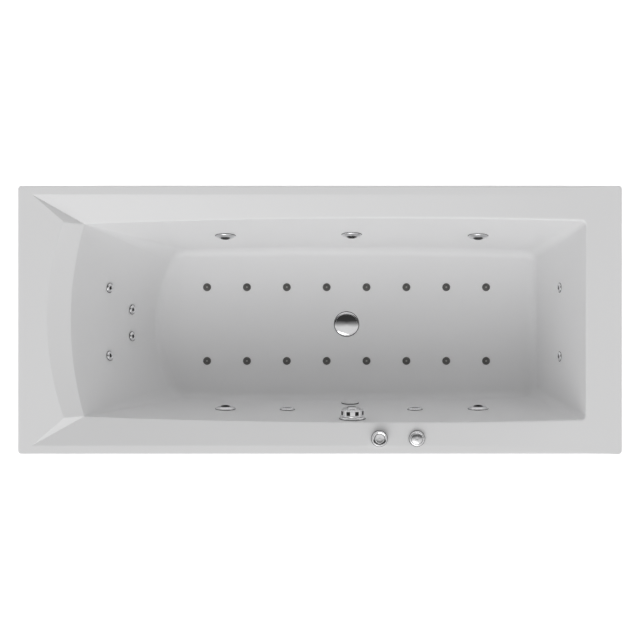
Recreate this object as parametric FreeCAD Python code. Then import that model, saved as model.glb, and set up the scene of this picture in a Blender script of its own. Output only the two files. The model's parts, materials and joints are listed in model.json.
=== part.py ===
import FreeCAD, Part
import math
import os

from FreeCAD import Placement, Rotation, Vector

# Jetted bathtub, drop-in acrylic shell on a steel frame, with its water-jet and air-bath equipment.
# Millimetres. Origin: middle of the footprint on the floor. +X is the foot end, -Y the control side, +Z up.

# ---------------------------------------------------------------- shell
TUB_LENGTH = 1800.0
TUB_WIDTH = 800.0
RIM_HEIGHT = 600.0
BATH_DEPTH = 440.0
SHELL_WALL = 6.0
SKIRT_DROP = 35.0
RIM_BORDER = 26.0
RIM_SIDE_HEAD = 112.0
RIM_SIDE_MIDDLE = 96.0
RIM_SIDE_FOOT = 105.0
RIM_FOOT = 108.0
MOUTH_CORNER_RADIUS = 14.0
ARMREST_DROP = 25.0
MITRE_START = 42.0
MITRE_END_X = 138.0
MITRE_END_Y = 108.0
HEAD_PANEL = 88.0
HEAD_EDGE = 153.0
HEAD_CORNER = 194.0
HEAD_EDGE_DROP = 3.0
BACKREST_RUN = 208.0
BACKREST_CORNER_RUN = 239.0
FOOT_WALL_RUN = 82.0
SIDE_RUN_HEAD = 43.0
SIDE_RUN_MIDDLE = 52.0
SIDE_RUN_FOOT = 54.0
WELL_FILLET = 32.0
WELL_CORNER_RADIUS = 40.0
RIM_EDGE = 4.0
HEAD_CHORDS = 6
WALL_CHORDS = 6
CORNER_CHORDS = 4
COVE_ROWS = 3
SEAT_PROBE = 20.0

# ---------------------------------------------------------------- clearances
HOLE_CLEARANCE = 0.5
MOVING_GAP = 0.3
WALL_GAP = 0.3
SEAT_GAP = 0.1
NUT_GAP = 0.5
MICRO_NUT_GAP = 3.0
DECK_FALL = 12.0

# ---------------------------------------------------------------- frame and feet
BOARD_THICKNESS = 16.0
BOARD_MARGIN = 40.0
RAIL_SIZE = 30.0
RAIL_WALL = 2.0
RAIL_Y = 190.0
RAIL_END_GAP = 25.0
CROSSBAR_HEAD_END = 80.0
CROSSBAR_MIDDLE_X = -60.0
CROSSBAR_FOOT_END = 180.0
UPRIGHT_SIZE = 20.0
UPRIGHT_WALL = 1.5
FOOT_EDGE = 70.0
FOOT_PAD_WIDTH = 64.0
FOOT_PAD_HEIGHT = 14.0
FOOT_SPINDLE = 12.0
FOOT_SPINDLE_REACH = 34.0
FOOT_NUT_WIDTH = 19.0
FOOT_NUT_HEIGHT = 10.0

# ---------------------------------------------------------------- side jets
JET_CENTRE_X = 100.0
JET_PITCH = 398.5
JET_DEPTH = 232.0
JET_RING_DIAMETER = 62.0
JET_RING_HEIGHT = 9.0
JET_RING_SHOULDER = 5.0
JET_RING_LIP = 2.4
JET_RING_BORE = 33.4
JET_FLANGE_HEIGHT = 2.0
JET_SEAL_HEIGHT = 1.4
JET_SLEEVE = 42.0
JET_BODY_LENGTH = 38.0
JET_BALL = 32.8
JET_BALL_CENTRE = 1.0
JET_BALL_CUTS = (-40, -15, 12, 37)
JET_NOZZLE_BORE = 14.0
JET_NOZZLE_FLARE = 3.0
JET_STUB = 20.0

# ---------------------------------------------------------------- sides of the turned pieces
TRIM_SIDES = 20
RING_SIDES = 16
BALL_SIDES = 10
SLEEVE_SIDES = 10
LIGHT_SIDES = 12
SMALL_SIDES = 8
CAP_SIDES = 8
PIPE_SIDES = 10
HOSE_SIDES = 6

# ---------------------------------------------------------------- lock nuts behind the walls
NUT_HEIGHT = 9.0
NUT_RIM = 9.0

# ---------------------------------------------------------------- micro jets
MICRO_DIAMETER = 29.0
MICRO_HEIGHT = 5.0
MICRO_EYE = 9.0
MICRO_BEVEL = 3.0
MICRO_STEM = 15.0
MICRO_BODY_LENGTH = 26.0
MICRO_HOSE = 12.0
MICRO_BACK_UPPER_Y = 106.0
MICRO_BACK_UPPER_DEPTH = 190.0
MICRO_BACK_LOWER_Y = 43.0
MICRO_BACK_LOWER_DEPTH = 308.0
MICRO_FOOT_Y = 108.0
MICRO_FOOT_DEPTH = 213.0

# ---------------------------------------------------------------- floor air jets
AIR_JET_COUNT = 8
AIR_JET_PITCH = 132.0
AIR_JET_Y = 122.0
AIR_CAP_DIAMETER = 26.0
AIR_CAP_HEIGHT = 4.0
AIR_CAP_BEVEL = 5.0
AIR_CAP_STEM = 10.0
AIR_BODY_WIDTH = 17.0
AIR_SLOT_WIDTH = 26.0

# ---------------------------------------------------------------- lights
LIGHT_HEAD_X = -103.0
LIGHT_FOOT_X = 300.0
LIGHT_DEPTH = 240.0
LIGHT_BEZEL_DIAMETER = 46.0
LIGHT_BEZEL_HEIGHT = 6.0
LIGHT_LENS_DIAMETER = 31.0
LIGHT_LENS_HEIGHT = 4.5
LIGHT_BODY_DIAMETER = 34.0
LIGHT_BODY_LENGTH = 32.0

# ---------------------------------------------------------------- waste, overflow and suction
DRAIN_X = 88.0
DRAIN_FLANGE_DIAMETER = 80.0
DRAIN_FLANGE_HEIGHT = 3.0
DRAIN_TAIL_DIAMETER = 50.0
DRAIN_TAIL_LENGTH = 44.0
DRAIN_BORE = 42.0
DRAIN_SEAT = 4.0
DRAIN_SPIDER_DEPTH = 22.0
DRAIN_SPIDER_HEIGHT = 5.0
DRAIN_SPIDER_WIDTH = 5.0
PLUG_DIAMETER = 71.0
PLUG_HEIGHT = 6.0
PLUG_EDGE = 2.4
PLUG_STEM = 8.0
PLUG_STEM_LENGTH = 34.0
TRAP_DIAMETER = 92.0
TRAP_HEIGHT = 115.0
TRAP_SOCKET = 10.0
TRAP_FLOOR = 12.0
TRAP_SPIGOT_RISE = 4.0
TRAP_SPIGOT = 50.0
TRAP_SPIGOT_BORE = 44.0
TRAP_SPIGOT_LENGTH = 66.0
TRAP_COLLAR = 3.0
TRAP_COLLAR_LENGTH = 6.0
FITTINGS_X = 98.0
OVERFLOW_DEPTH = 70.0
ROSETTE_DIAMETER = 78.0
ROSETTE_HEIGHT = 7.0
ROSETTE_BEVEL = 3.0
KNOB_DIAMETER = 70.0
KNOB_HEIGHT = 28.0
KNOB_WALL = 3.0
KNOB_BEVEL = 2.0
KNOB_SHAFT = 12.0
OVERFLOW_BODY_DIAMETER = 56.0
OVERFLOW_BODY_LENGTH = 52.0
OVERFLOW_PIPE = 40.0
OVERFLOW_TURN_X = 136.0
OVERFLOW_PIPE_X = 166.0
OVERFLOW_PIPE_EDGE = 86.0
OVERFLOW_PIPE_SHOULDER = 170.0
SUCTION_DEPTH = 370.0
STRAINER_DIAMETER = 54.0
STRAINER_HEIGHT = 7.0
STRAINER_SLOTS = 8
STRAINER_SLOT = 2.4
SUCTION_BODY_DIAMETER = 40.0
SUCTION_CHAMBER_DIAMETER = 62.0
SUCTION_CHAMBER_LENGTH = 58.0
SUCTION_BEND = 50.0

# ---------------------------------------------------------------- deck controls
REGULATOR_X = 176.7
BUTTON_X = 288.5
DECK_EDGE = 47.0
REGULATOR_DIAMETER = 47.0
REGULATOR_HEIGHT = 22.0
REGULATOR_BEVEL = 3.0
REGULATOR_STEM = 12.0
REGULATOR_STEM_LENGTH = 22.0
VALVE_DIAMETER = 32.0
VALVE_LENGTH = 96.0
BEZEL_DIAMETER = 46.0
BEZEL_HEIGHT = 8.0
BEZEL_BEVEL = 2.0
BUTTON_DIAMETER = 33.0
BUTTON_TRAVEL = 4.0
BUTTON_STEM = 10.0
BUTTON_STEM_LENGTH = 12.0
SWITCH_DIAMETER = 30.0
SWITCH_LENGTH = 52.0

# ---------------------------------------------------------------- pipework
PIPE_EDGE = 48.0
PIPE_FOOT_END = 70.0
PIPE_BEND = 60.0
PIPE_BEND_CHORDS = 3
PRESSURE_PIPE = 32.0
AIR_PIPE = 16.0
AIR_PIPE_RISE = 40.0
AIR_BRANCH = 10.0
SUCTION_PIPE = 50.0
MANIFOLD_WIDTH = 24.0
MANIFOLD_PIPE = 20.0
MANIFOLD_DROP = 16.0
MANIFOLD_FEED_DROP = 46.0
MANIFOLD_FEED_SHARE = 0.98

# ---------------------------------------------------------------- pump and blower
PUMP_HEAD_END = 190.0
VOLUTE_RADIUS = 66.0
VOLUTE_GROWTH = 7.0
VOLUTE_WIDTH = 58.0
VOLUTE_CHORDS = 20
VOLUTE_WALL = 5.0
VOLUTE_INLET_Y = -130.0
VOLUTE_SPIGOT_LENGTH = 30.0
VOLUTE_OUTLET_LENGTH = 8.0
PUMP_OUTLET_OFFSET = 45.0
PUMP_OUTLET_DIAMETER = 40.0
IMPELLER_RADIUS = 52.0
IMPELLER_BLADES = 6
IMPELLER_BLADE = 3.0
IMPELLER_SWEEP = 8.0
PUMP_SHAFT = 13.0
MOTOR_DIAMETER = 116.0
MOTOR_LENGTH = 180.0
MOTOR_FINS = 12
MOTOR_FIN_HEIGHT = 7.0
MOTOR_FIN_WIDTH = 3.0
MOTOR_FIN_MARGIN = 20.0
MOTOR_FOOT_SPREAD = 90.0
MOTOR_FOOT_LENGTH = 16.0
MOTOR_BOX_WIDTH = 63.0
MOTOR_BOX_HEIGHT = 8.0
COWL_LENGTH = 34.0
COWL_SLOTS = 6
PUMP_BOARD_THICKNESS = 10.0
PUMP_BOARD_WIDTH = 190.0
BLOWER_EDGE = 132.0
BLOWER_DIAMETER = 148.0
BLOWER_HEIGHT = 84.0
BLOWER_WALL = 4.0
BLOWER_BEVEL = 8.0
BLOWER_FAN_DIAMETER = 118.0
BLOWER_FAN_HEIGHT = 34.0
BLOWER_FAN_BLADES = 8
BLOWER_MOTOR_DIAMETER = 84.0
BLOWER_MOTOR_HEIGHT = 46.0
BLOWER_OUTLET_Z = 32.0
CONTROL_BOX_LENGTH = 110.0
CONTROL_BOX_WIDTH = 150.0
CONTROL_BOX_HEIGHT = 104.0
CONTROL_LID_HEIGHT = 14.0
CONTROL_LID_LIP = 2.0
CONTROL_GLANDS = 4
GLAND_DIAMETER = 20.0
GLAND_LENGTH = 16.0

# ---------------------------------------------------------------- worked-out levels
HALF_LENGTH = TUB_LENGTH / 2
HALF_WIDTH = TUB_WIDTH / 2
FLOOR_Z = RIM_HEIGHT - BATH_DEPTH
BOARD_TOP = FLOOR_Z - SHELL_WALL
BOARD_BOTTOM = BOARD_TOP - BOARD_THICKNESS
RAIL_BOTTOM = BOARD_BOTTOM - RAIL_SIZE
CROSSBAR_BOTTOM = RAIL_BOTTOM - RAIL_SIZE
CROSSBARS_X = (CROSSBAR_HEAD_END - HALF_LENGTH, CROSSBAR_MIDDLE_X, HALF_LENGTH - CROSSBAR_FOOT_END)
FOOT_Y = HALF_WIDTH - FOOT_EDGE
DECK_Y = HALF_WIDTH - DECK_EDGE
PIPE_Y = HALF_WIDTH - PIPE_EDGE
PIPE_FOOT_X = HALF_LENGTH - PIPE_FOOT_END
MANIFOLD_Z = BOARD_BOTTOM - MANIFOLD_DROP
MANIFOLD_TOP = MANIFOLD_Z + MANIFOLD_PIPE / 2
PUMP_X = PUMP_HEAD_END - HALF_LENGTH
PUMP_HEAD_X = PUMP_X - PUMP_OUTLET_OFFSET
PUMP_BOARD_TOP = BOARD_BOTTOM + PUMP_BOARD_THICKNESS
BLOWER_Y = HALF_WIDTH - BLOWER_EDGE
TRAP_TOP = FLOOR_Z - DRAIN_TAIL_LENGTH + TRAP_SOCKET
TRAP_LOW = TRAP_TOP - TRAP_HEIGHT
TRAP_SPIGOT_Z = TRAP_LOW + TRAP_SPIGOT / 2 + TRAP_SPIGOT_RISE
JET_SEAL_TOP = WALL_GAP + JET_SEAL_HEIGHT
JET_FLANGE_TOP = JET_SEAL_TOP + JET_FLANGE_HEIGHT
JET_BACK = -(SHELL_WALL + JET_BODY_LENGTH)
UP = Vector(0, 0, 1)


# ---------------------------------------------------------------- small makers
def save(name, *solids):
    shape = solids[0] if len(solids) == 1 else Part.makeCompound(list(solids))
    shape.exportStep(os.path.join("parts", name + ".step"))


def block(low, high):
    size = Vector(*high) - Vector(*low)
    return Part.makeBox(size.x, size.y, size.z, Vector(*low))


def rod(diameter, z0, z1):
    """True round bar along Z, for the shafts that pieces turn on."""
    return Part.makeCylinder(diameter / 2, z1 - z0, Vector(0, 0, z0))


def flats(diameter, sides):
    """Diameter over the corners of a many-sided round whose flats lie on this diameter."""
    return diameter / math.cos(math.pi / sides)


def turned(profile, sides):
    """A many-sided turning about Z from a closed outline of (radius, height) points.

    Every facet is flat; the corners lie on the true round.
    """
    rings = []
    for radius, z in profile:
        angles = [2 * math.pi * i / sides for i in range(sides)]
        rings.append([Vector(radius * math.cos(a), radius * math.sin(a), z) for a in angles])
    faces = []
    for i in range(len(profile)):
        low, high = rings[i - 1], rings[i]
        flat = abs(profile[i - 1][1] - profile[i][1]) < 1e-9
        if profile[i - 1][0] < 1e-9 and profile[i][0] < 1e-9:
            continue
        if flat:
            faces.append(flat_ring(low, high))
            continue
        for j in range(sides):
            corners = [low[j - 1], low[j], high[j], high[j - 1]]
            if profile[i - 1][0] < 1e-9:
                corners.pop(0)
            elif profile[i][0] < 1e-9:
                corners.pop(2)
            faces.append(Part.Face(Part.makePolygon(corners + corners[:1])))
    return sewn(faces)


def flat_ring(one, other):
    """Flat face between two many-sided outlines in one plane; the smaller may be a point."""
    outer, inner = sorted((one, other), key=lambda ring: -Vector(ring[0].x, ring[0].y, 0).Length)
    face = Part.Face(Part.makePolygon(outer + outer[:1]))
    if Vector(inner[0].x, inner[0].y, 0).Length < 1e-9:
        return face
    return face.cut(Part.Face(Part.makePolygon(inner + inner[:1]))).Faces[0]


def many_sided(diameter, z_from, z_to, sides):
    return turned(((0, z_from), (diameter / 2, z_from), (diameter / 2, z_to), (0, z_to)), sides)


def sided_ring(outer, inner, z_from, z_to, sides):
    return turned(((inner / 2, z_from), (outer / 2, z_from), (outer / 2, z_to), (inner / 2, z_to)), sides)


def hexagon(width, z_from, z_to):
    return many_sided(flats(width, 6), z_from, z_to, 6)


def hole(diameter, z_from, z_to, sides, x=0.0, y=0.0):
    """Cutter whose flats clear a round of this diameter."""
    return many_sided(flats(diameter, sides), z_from, z_to, sides).translated(Vector(x, y, 0))


def around(solid, count, axis=UP, centre=Vector()):
    """Copies of a solid turned evenly about an axis."""
    copies = []
    for i in range(count):
        copy = solid.copy()
        copy.rotate(centre, axis, 360.0 * i / count)
        copies.append(copy)
    return copies


def sewn(faces):
    hull = Part.Shell(faces)
    hull.sewShape()
    solid = Part.Solid(hull)
    if not solid.isValid():
        solid.fix(1e-3, 1e-3, 1e-3)
    return solid if solid.Volume > 0 else solid.reversed()


def rounded(points, bend, chords):
    """Route whose inner corners are replaced by chords of a tangent arc."""
    points = [Vector(*p) for p in points]
    route = [points[0]]
    for before, corner, after in zip(points, points[1:], points[2:]):
        into = (before - corner).normalize()
        out = (after - corner).normalize()
        half = into.getAngle(out) / 2
        reach = bend / math.tan(half)
        middle = corner + (into + out).normalize() * (bend / math.sin(half) - bend)
        route += arc_points(corner + into * reach, middle, corner + out * reach, chords)
    return route + [points[-1]]


def pipe(points, diameter, sides=PIPE_SIDES):
    """Many-sided pipe along mitred straight runs; a route that ends where it starts closes."""
    points = [Vector(*p) for p in points]
    closed = (points[0] - points[-1]).Length < 1e-6
    runs = [(b - a).normalize() for a, b in zip(points, points[1:])]
    side = runs[0].cross(Vector(1, 0, 0) if abs(runs[0].z) > 0.9 else UP).normalize()
    over = runs[0].cross(side)
    turns = [2 * math.pi * (i + 0.5) / sides for i in range(sides)]
    ring = [points[0] + (side * math.cos(t) + over * math.sin(t)) * (diameter / 2) for t in turns]
    faces = [] if closed else [Part.Face(Part.makePolygon(ring + ring[:1]))]
    for i, run in enumerate(runs):
        joint = points[i + 1]
        plane = run if i == len(runs) - 1 else (run + runs[i + 1]).normalize()
        end = [corner + run * ((joint - corner).dot(plane) / run.dot(plane)) for corner in ring]
        for j in range(sides):
            faces.append(Part.Face(Part.makePolygon([ring[j - 1], ring[j], end[j], end[j - 1], ring[j - 1]])))
        ring = end
    if not closed:
        faces.append(Part.Face(Part.makePolygon(ring + ring[:1])))
    return sewn(faces)


def radial_end(start, centre, radius):
    """Where a straight run from start towards a round's centre stops, just clear of the round."""
    run = centre - start
    return start + run * ((run.Length - radius - SEAT_GAP) / run.Length)


# ---------------------------------------------------------------- shell geometry
def offset_run(run, offset):
    """Sideways shift that keeps a wall, leaning by run over the bath depth, at its thickness."""
    lean = math.atan(run / BATH_DEPTH)
    return offset * math.tan(math.pi / 4 - lean / 2)


def line(a, b):
    return Part.LineSegment(a, b).toShape()


def arc_points(a, middle, b, chords):
    """Ends of equal chords of the arc from a through middle to b."""
    curve = Part.Arc(a, middle, b)
    step = (curve.LastParameter - curve.FirstParameter) / chords
    return [curve.value(curve.FirstParameter + i * step) for i in range(chords + 1)]


def bowed(points, x):
    """Half width, at a station x, of the plan arc through three (x, half width) points."""
    (x1, y1), (x2, y2), (x3, y3) = points
    circle = Part.Circle(Vector(x1, y1, 0), Vector(x2, y2, 0), Vector(x3, y3, 0))
    return circle.Center.y + math.sqrt(circle.Radius ** 2 - (x - circle.Center.x) ** 2)


def corner_points(start, corner, end):
    """Points of a smooth corner that leaves start towards corner and reaches end."""
    points = []
    for i in range(CORNER_CHORDS + 1):
        t = i / CORNER_CHORDS
        points.append(start * (1 - t) ** 2 + corner * 2 * t * (1 - t) + end * t ** 2)
    return points


def cove_inset(run, height):
    """Inward shift of the well's outline, this high over the floor, where a wall of that run is coved."""
    lean = math.atan(run / BATH_DEPTH)
    if height >= WELL_FILLET * (1 - math.sin(lean)):
        return -height * math.tan(lean)
    turn = math.acos(1 - height / WELL_FILLET)
    return WELL_FILLET * (math.tan(math.pi / 4 - lean / 2) - math.sin(turn))


def mouth_plan(offset):
    """Plan arc of a long mouth edge as three (x, half width) points."""
    sideways = offset_run(SIDE_RUN_MIDDLE, offset)
    return ((-HALF_LENGTH + HEAD_CORNER - offset_run(BACKREST_RUN, offset),
             HALF_WIDTH - RIM_SIDE_HEAD + sideways),
            (JET_CENTRE_X, HALF_WIDTH - RIM_SIDE_MIDDLE + sideways),
            (HALF_LENGTH - RIM_FOOT + offset_run(FOOT_WALL_RUN, offset),
             HALF_WIDTH - RIM_SIDE_FOOT + sideways))


HEAD = slice(0, HEAD_CHORDS + 1)
SIDE = slice(HEAD_CHORDS + CORNER_CHORDS, HEAD_CHORDS + CORNER_CHORDS + WALL_CHORDS + 1)
FOOT = slice(SIDE.stop - 1 + CORNER_CHORDS, None)


def mouth_row(offset, side):
    """Half of the well's edge at the rim, from the middle of the head to the middle of the foot."""
    rim = RIM_HEIGHT - offset
    plan = mouth_plan(offset)
    head_x, end_x = plan[0][0], plan[2][0] - MOUTH_CORNER_RADIUS

    def on_edge(x):
        drop = ARMREST_DROP * (end_x - x) / (end_x - head_x)
        return Vector(x, side * bowed(plan, x), rim - drop)

    head, end = on_edge(head_x), on_edge(end_x)
    middle_x = -HALF_LENGTH + HEAD_EDGE - offset_run(BACKREST_RUN, offset)
    middle = Vector(middle_x, 0, rim - ARMREST_DROP - HEAD_EDGE_DROP)
    arch = arc_points(Vector(head.x, -head.y, head.z), middle, head, 2 * HEAD_CHORDS)[HEAD_CHORDS:]
    corner = Vector(plan[2][0], end.y, rim)
    foot = corner - Vector(0, side * MOUTH_CORNER_RADIUS, 0)
    row = arch + [head] * CORNER_CHORDS
    row += arc_points(head, on_edge((head_x + end_x) / 2), end, WALL_CHORDS)[1:]
    return row + corner_points(end, corner, foot)[1:] + [Vector(foot.x, 0, rim)]


def floor_row(offset, side, height):
    """Half of the well's outline this high over the floor; with a height of None the corner is not coved."""
    head_in, side_in, foot_in = (0.0 if height is None else cove_inset(run, height)
                                 for run in (BACKREST_RUN, SIDE_RUN_MIDDLE, FOOT_WALL_RUN))
    level = FLOOR_Z - offset + (height or 0.0)
    mouth = mouth_plan(offset)
    plan = ((mouth[0][0] + BACKREST_CORNER_RUN + head_in, mouth[0][1] - SIDE_RUN_HEAD - side_in),
            (mouth[1][0], mouth[1][1] - SIDE_RUN_MIDDLE - side_in),
            (mouth[2][0] - FOOT_WALL_RUN - foot_in, mouth[2][1] - SIDE_RUN_FOOT - side_in))
    middle_x = -HALF_LENGTH + HEAD_EDGE - offset_run(BACKREST_RUN, offset) + BACKREST_RUN + head_in
    (head_x, head_y), foot_x = plan[0], plan[2][0]
    ends = [Vector(head_x, side * head_y, level) for side in (1, -1)]
    arch = Part.Circle(ends[0], Vector(middle_x, 0, level), ends[1])

    def on_edge(x):
        return Vector(x, side * bowed(plan, x), level)

    start, end = on_edge(head_x + WELL_CORNER_RADIUS), on_edge(foot_x - WELL_CORNER_RADIUS)
    cut_y = head_y - WELL_CORNER_RADIUS
    head = Vector(arch.Center.x - math.sqrt(arch.Radius ** 2 - cut_y ** 2), side * cut_y, level)
    foot_corner = Vector(foot_x, end.y, level)
    foot = foot_corner - Vector(0, side * WELL_CORNER_RADIUS, 0)
    row = arc_points(Vector(head.x, -head.y, level), Vector(middle_x, 0, level), head, 2 * HEAD_CHORDS)
    row = row[HEAD_CHORDS:] + corner_points(head, on_edge(head_x), start)[1:]
    row += arc_points(start, on_edge((start.x + end.x) / 2), end, WALL_CHORDS)[1:]
    return row + corner_points(end, foot_corner, foot)[1:] + [Vector(foot_x, 0, level)]


def facets(upper, lower):
    """Flat facets between two rows of as many points."""
    faces = []
    for a, b, c, d in zip(upper, upper[1:], lower, lower[1:]):
        for corners in ((a, c, d), (a, d, b)):
            if all((p - q).Length > 1e-6 for p, q in zip(corners, corners[1:] + corners[:1])):
                faces.append(Part.Face(Part.makePolygon(list(corners) + [a])))
    return faces


def flat_face(halves):
    """Flat face inside two half rows."""
    near, far = halves
    return Part.Face(Part.makePolygon(near + far[::-1][1:]))


def outline(inset, z):
    x = HALF_LENGTH - inset
    y = HALF_WIDTH - inset
    return [Vector(-x, -y, z), Vector(x, -y, z), Vector(x, y, z), Vector(-x, y, z), Vector(-x, -y, z)]


def even(a, b, chords):
    return [a + (b - a) * (i / chords) for i in range(chords + 1)]


def rim_faces(offset, edge, mouths):
    """Flat edge strip and head panel, mitred facets, sloping armrests, head band and turned-down skirt."""
    rim = RIM_HEIGHT - offset
    faces, opening = [], []
    for side, mouth in zip((1, -1), mouths):
        head, end = mouth[SIDE][0], mouth[SIDE][-1]
        border_y = side * (HALF_WIDTH - RIM_BORDER)
        mitre_start = Vector(-HALF_LENGTH + MITRE_START, border_y, rim)
        mitre_end = Vector(-HALF_LENGTH + MITRE_END_X, side * (HALF_WIDTH - MITRE_END_Y), rim)
        border = even(mitre_start, Vector(end.x, border_y, rim), WALL_CHORDS)
        panel = arc_points(Vector(mitre_end.x, -mitre_end.y, rim), Vector(-HALF_LENGTH + HEAD_PANEL, 0, rim),
                           mitre_end, 2 * HEAD_CHORDS)[HEAD_CHORDS:]
        faces += facets(border, mouth[SIDE]) + facets(panel, mouth[HEAD])
        faces.append(Part.Face(Part.makePolygon([mitre_start, mitre_end, head, mitre_start])))
        opening.append(panel + border + mouth[SIDE.stop - 1:])
    faces += Part.Face(Part.makePolygon(outline(offset + edge, rim))).cut(flat_face(opening)).Faces
    levels = [outline(offset + edge, rim), outline(offset, rim - edge),
              outline(offset, RIM_HEIGHT - SKIRT_DROP)]
    for upper, lower in zip(levels, levels[1:]):
        faces += [] if (upper[0] - lower[0]).Length < 1e-6 else facets(upper, lower)
    return faces


def cove_heights():
    """Row heights of the cove between the walls and the floor, from the floor up."""
    lean = math.atan(SIDE_RUN_MIDDLE / BATH_DEPTH)
    turns = [(math.pi / 2 - lean) * i / COVE_ROWS for i in range(COVE_ROWS + 1)]
    return [WELL_FILLET * (1 - math.cos(turn)) for turn in turns]


def skin(offset, edge, heights):
    """One side of the shell: rim, walls down through rows at these heights, floor."""
    halves = []
    for side in (1, -1):
        halves.append([mouth_row(offset, side)] + [floor_row(offset, side, height) for height in heights])
    faces = rim_faces(offset, edge, [rows[0] for rows in halves])
    for rows in halves:
        for upper, lower in zip(rows, rows[1:]):
            faces += facets(upper, lower)
    return faces + [flat_face([rows[-1] for rows in halves])]


def shell_blank():
    """The moulded side, coved at the floor, and the hidden side one wall behind, joined at the lip."""
    lip = RIM_HEIGHT - SKIRT_DROP
    faces = skin(0.0, RIM_EDGE, cove_heights()[::-1]) + skin(SHELL_WALL, 0.0, [None])
    inner, outer = (Part.Face(Part.makePolygon(outline(inset, lip))) for inset in (SHELL_WALL, 0))
    return sewn(faces + outer.cut(inner).Faces)


def wall_faces(part, sides=(1, -1)):
    """Facets of one stretch of the moulded walls, above the cove."""
    top = cove_heights()[-1]
    faces = []
    for side in sides:
        faces += facets(mouth_row(0, side)[part], floor_row(0, side, top)[part])
    return faces


# ---------------------------------------------------------------- seats on the walls
def hit(faces, start, reach):
    """Where a ray from start meets the faces."""
    ray = line(start, start + reach)
    nearest = min(faces, key=lambda face: face.distToShape(ray)[0])
    return nearest.distToShape(ray)[1][0][0]


class Seat:
    """A place on the high spots of the moulded face, with its normal pointing into the well."""

    def __init__(self, faces, start, reach, across):
        start, reach = Vector(*start), Vector(*reach)
        self.across = Vector(*across)
        sides = (self.across, UP)
        steps = [Vector()] + [way * probe for way in sides for probe in (-SEAT_PROBE, SEAT_PROBE)]
        middle, left, right, low, high = (hit(faces, start + step, reach) for step in steps)
        normal = (right - left).cross(high - low).normalize()
        self.normal = normal if normal.dot(reach) < 0 else normal * -1
        self.across = (right - left).normalize()
        rise = max((spot - middle).dot(self.normal) for spot in (middle, left, right, low, high))
        self.point = middle + self.normal * rise

    def place(self, solid):
        turn = Rotation(self.across, self.normal.cross(self.across), self.normal, "ZXY")
        placed = solid.copy()
        placed.Placement = Placement(self.point, turn).multiply(solid.Placement)
        return placed

    def at(self, height):
        return self.point + self.normal * height

    def upward(self):
        """Direction square to the normal that climbs most."""
        return (UP - self.normal * self.normal.z).normalize()

    def cutter(self, diameter, sides):
        reach = 4 * SHELL_WALL
        return self.place(hole(diameter + 2 * HOLE_CLEARANCE, -reach, reach, sides))


LEFT_WALL, RIGHT_WALL = wall_faces(SIDE, (1,)), wall_faces(SIDE, (-1,))
HEAD_WALL, FOOT_WALL = wall_faces(HEAD), wall_faces(FOOT)


def wall_seat(side, x, depth):
    faces = LEFT_WALL if side > 0 else RIGHT_WALL
    return Seat(faces, (x, 0, RIM_HEIGHT - depth), (0, side * HALF_WIDTH, 0), (1, 0, 0))


def end_seat(end, y, depth):
    faces = FOOT_WALL if end > 0 else HEAD_WALL
    return Seat(faces, (0, y, RIM_HEIGHT - depth), (end * HALF_LENGTH, 0, 0), (0, 1, 0))


def side_jet_seats():
    return [wall_seat(side, JET_CENTRE_X + i * JET_PITCH, JET_DEPTH)
            for side in (-1, 1) for i in (-1, 0, 1)]


def micro_jet_seats():
    backrest = ((MICRO_BACK_UPPER_Y, MICRO_BACK_UPPER_DEPTH), (MICRO_BACK_LOWER_Y, MICRO_BACK_LOWER_DEPTH))
    seats = [end_seat(-1, side * y, depth) for y, depth in backrest for side in (-1, 1)]
    return seats + [end_seat(1, side * MICRO_FOOT_Y, MICRO_FOOT_DEPTH) for side in (-1, 1)]


def light_seats():
    return [wall_seat(-1, x, LIGHT_DEPTH) for x in (LIGHT_HEAD_X, LIGHT_FOOT_X)]


def suction_seat():
    return wall_seat(-1, FITTINGS_X, SUCTION_DEPTH)


def overflow_seat():
    return wall_seat(-1, FITTINGS_X, OVERFLOW_DEPTH)


def air_jet_places():
    first = DRAIN_X - AIR_JET_PITCH * (AIR_JET_COUNT - 1) / 2
    return [(first + i * AIR_JET_PITCH, side * AIR_JET_Y) for side in (-1, 1) for i in range(AIR_JET_COUNT)]


def feet_places():
    return [(x, side * FOOT_Y) for side in (-1, 1) for x in CROSSBARS_X]


# ---------------------------------------------------------------- shell, board, frame, feet
def make_shell():
    cutters = [seat.cutter(JET_SLEEVE, SLEEVE_SIDES) for seat in side_jet_seats()]
    cutters += [seat.cutter(MICRO_STEM, SMALL_SIDES) for seat in micro_jet_seats()]
    cutters += [seat.cutter(LIGHT_BODY_DIAMETER, SMALL_SIDES) for seat in light_seats()]
    cutters.append(suction_seat().cutter(SUCTION_BODY_DIAMETER, SLEEVE_SIDES))
    cutters.append(overflow_seat().cutter(OVERFLOW_BODY_DIAMETER, SLEEVE_SIDES))
    low, high = BOARD_TOP - SHELL_WALL, FLOOR_Z + SHELL_WALL
    stem = AIR_CAP_STEM + 2 * HOLE_CLEARANCE
    cutters += [hole(stem, low, high, HOSE_SIDES, x, y) for x, y in air_jet_places()]
    cutters.append(hole(DRAIN_TAIL_DIAMETER + 2 * HOLE_CLEARANCE, low, high, TRIM_SIDES, DRAIN_X))
    for x, diameter in ((REGULATOR_X, VALVE_DIAMETER), (BUTTON_X, SWITCH_DIAMETER)):
        cutters.append(hole(diameter + 2 * HOLE_CLEARANCE, RIM_HEIGHT - 2 * SKIRT_DROP,
                            RIM_HEIGHT + SHELL_WALL, SLEEVE_SIDES, x, -DECK_Y))
    save("tub_shell", shell_blank().cut(cutters))


def board_half_width():
    return HALF_WIDTH - RIM_SIDE_MIDDLE - SIDE_RUN_MIDDLE - BOARD_MARGIN


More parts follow.
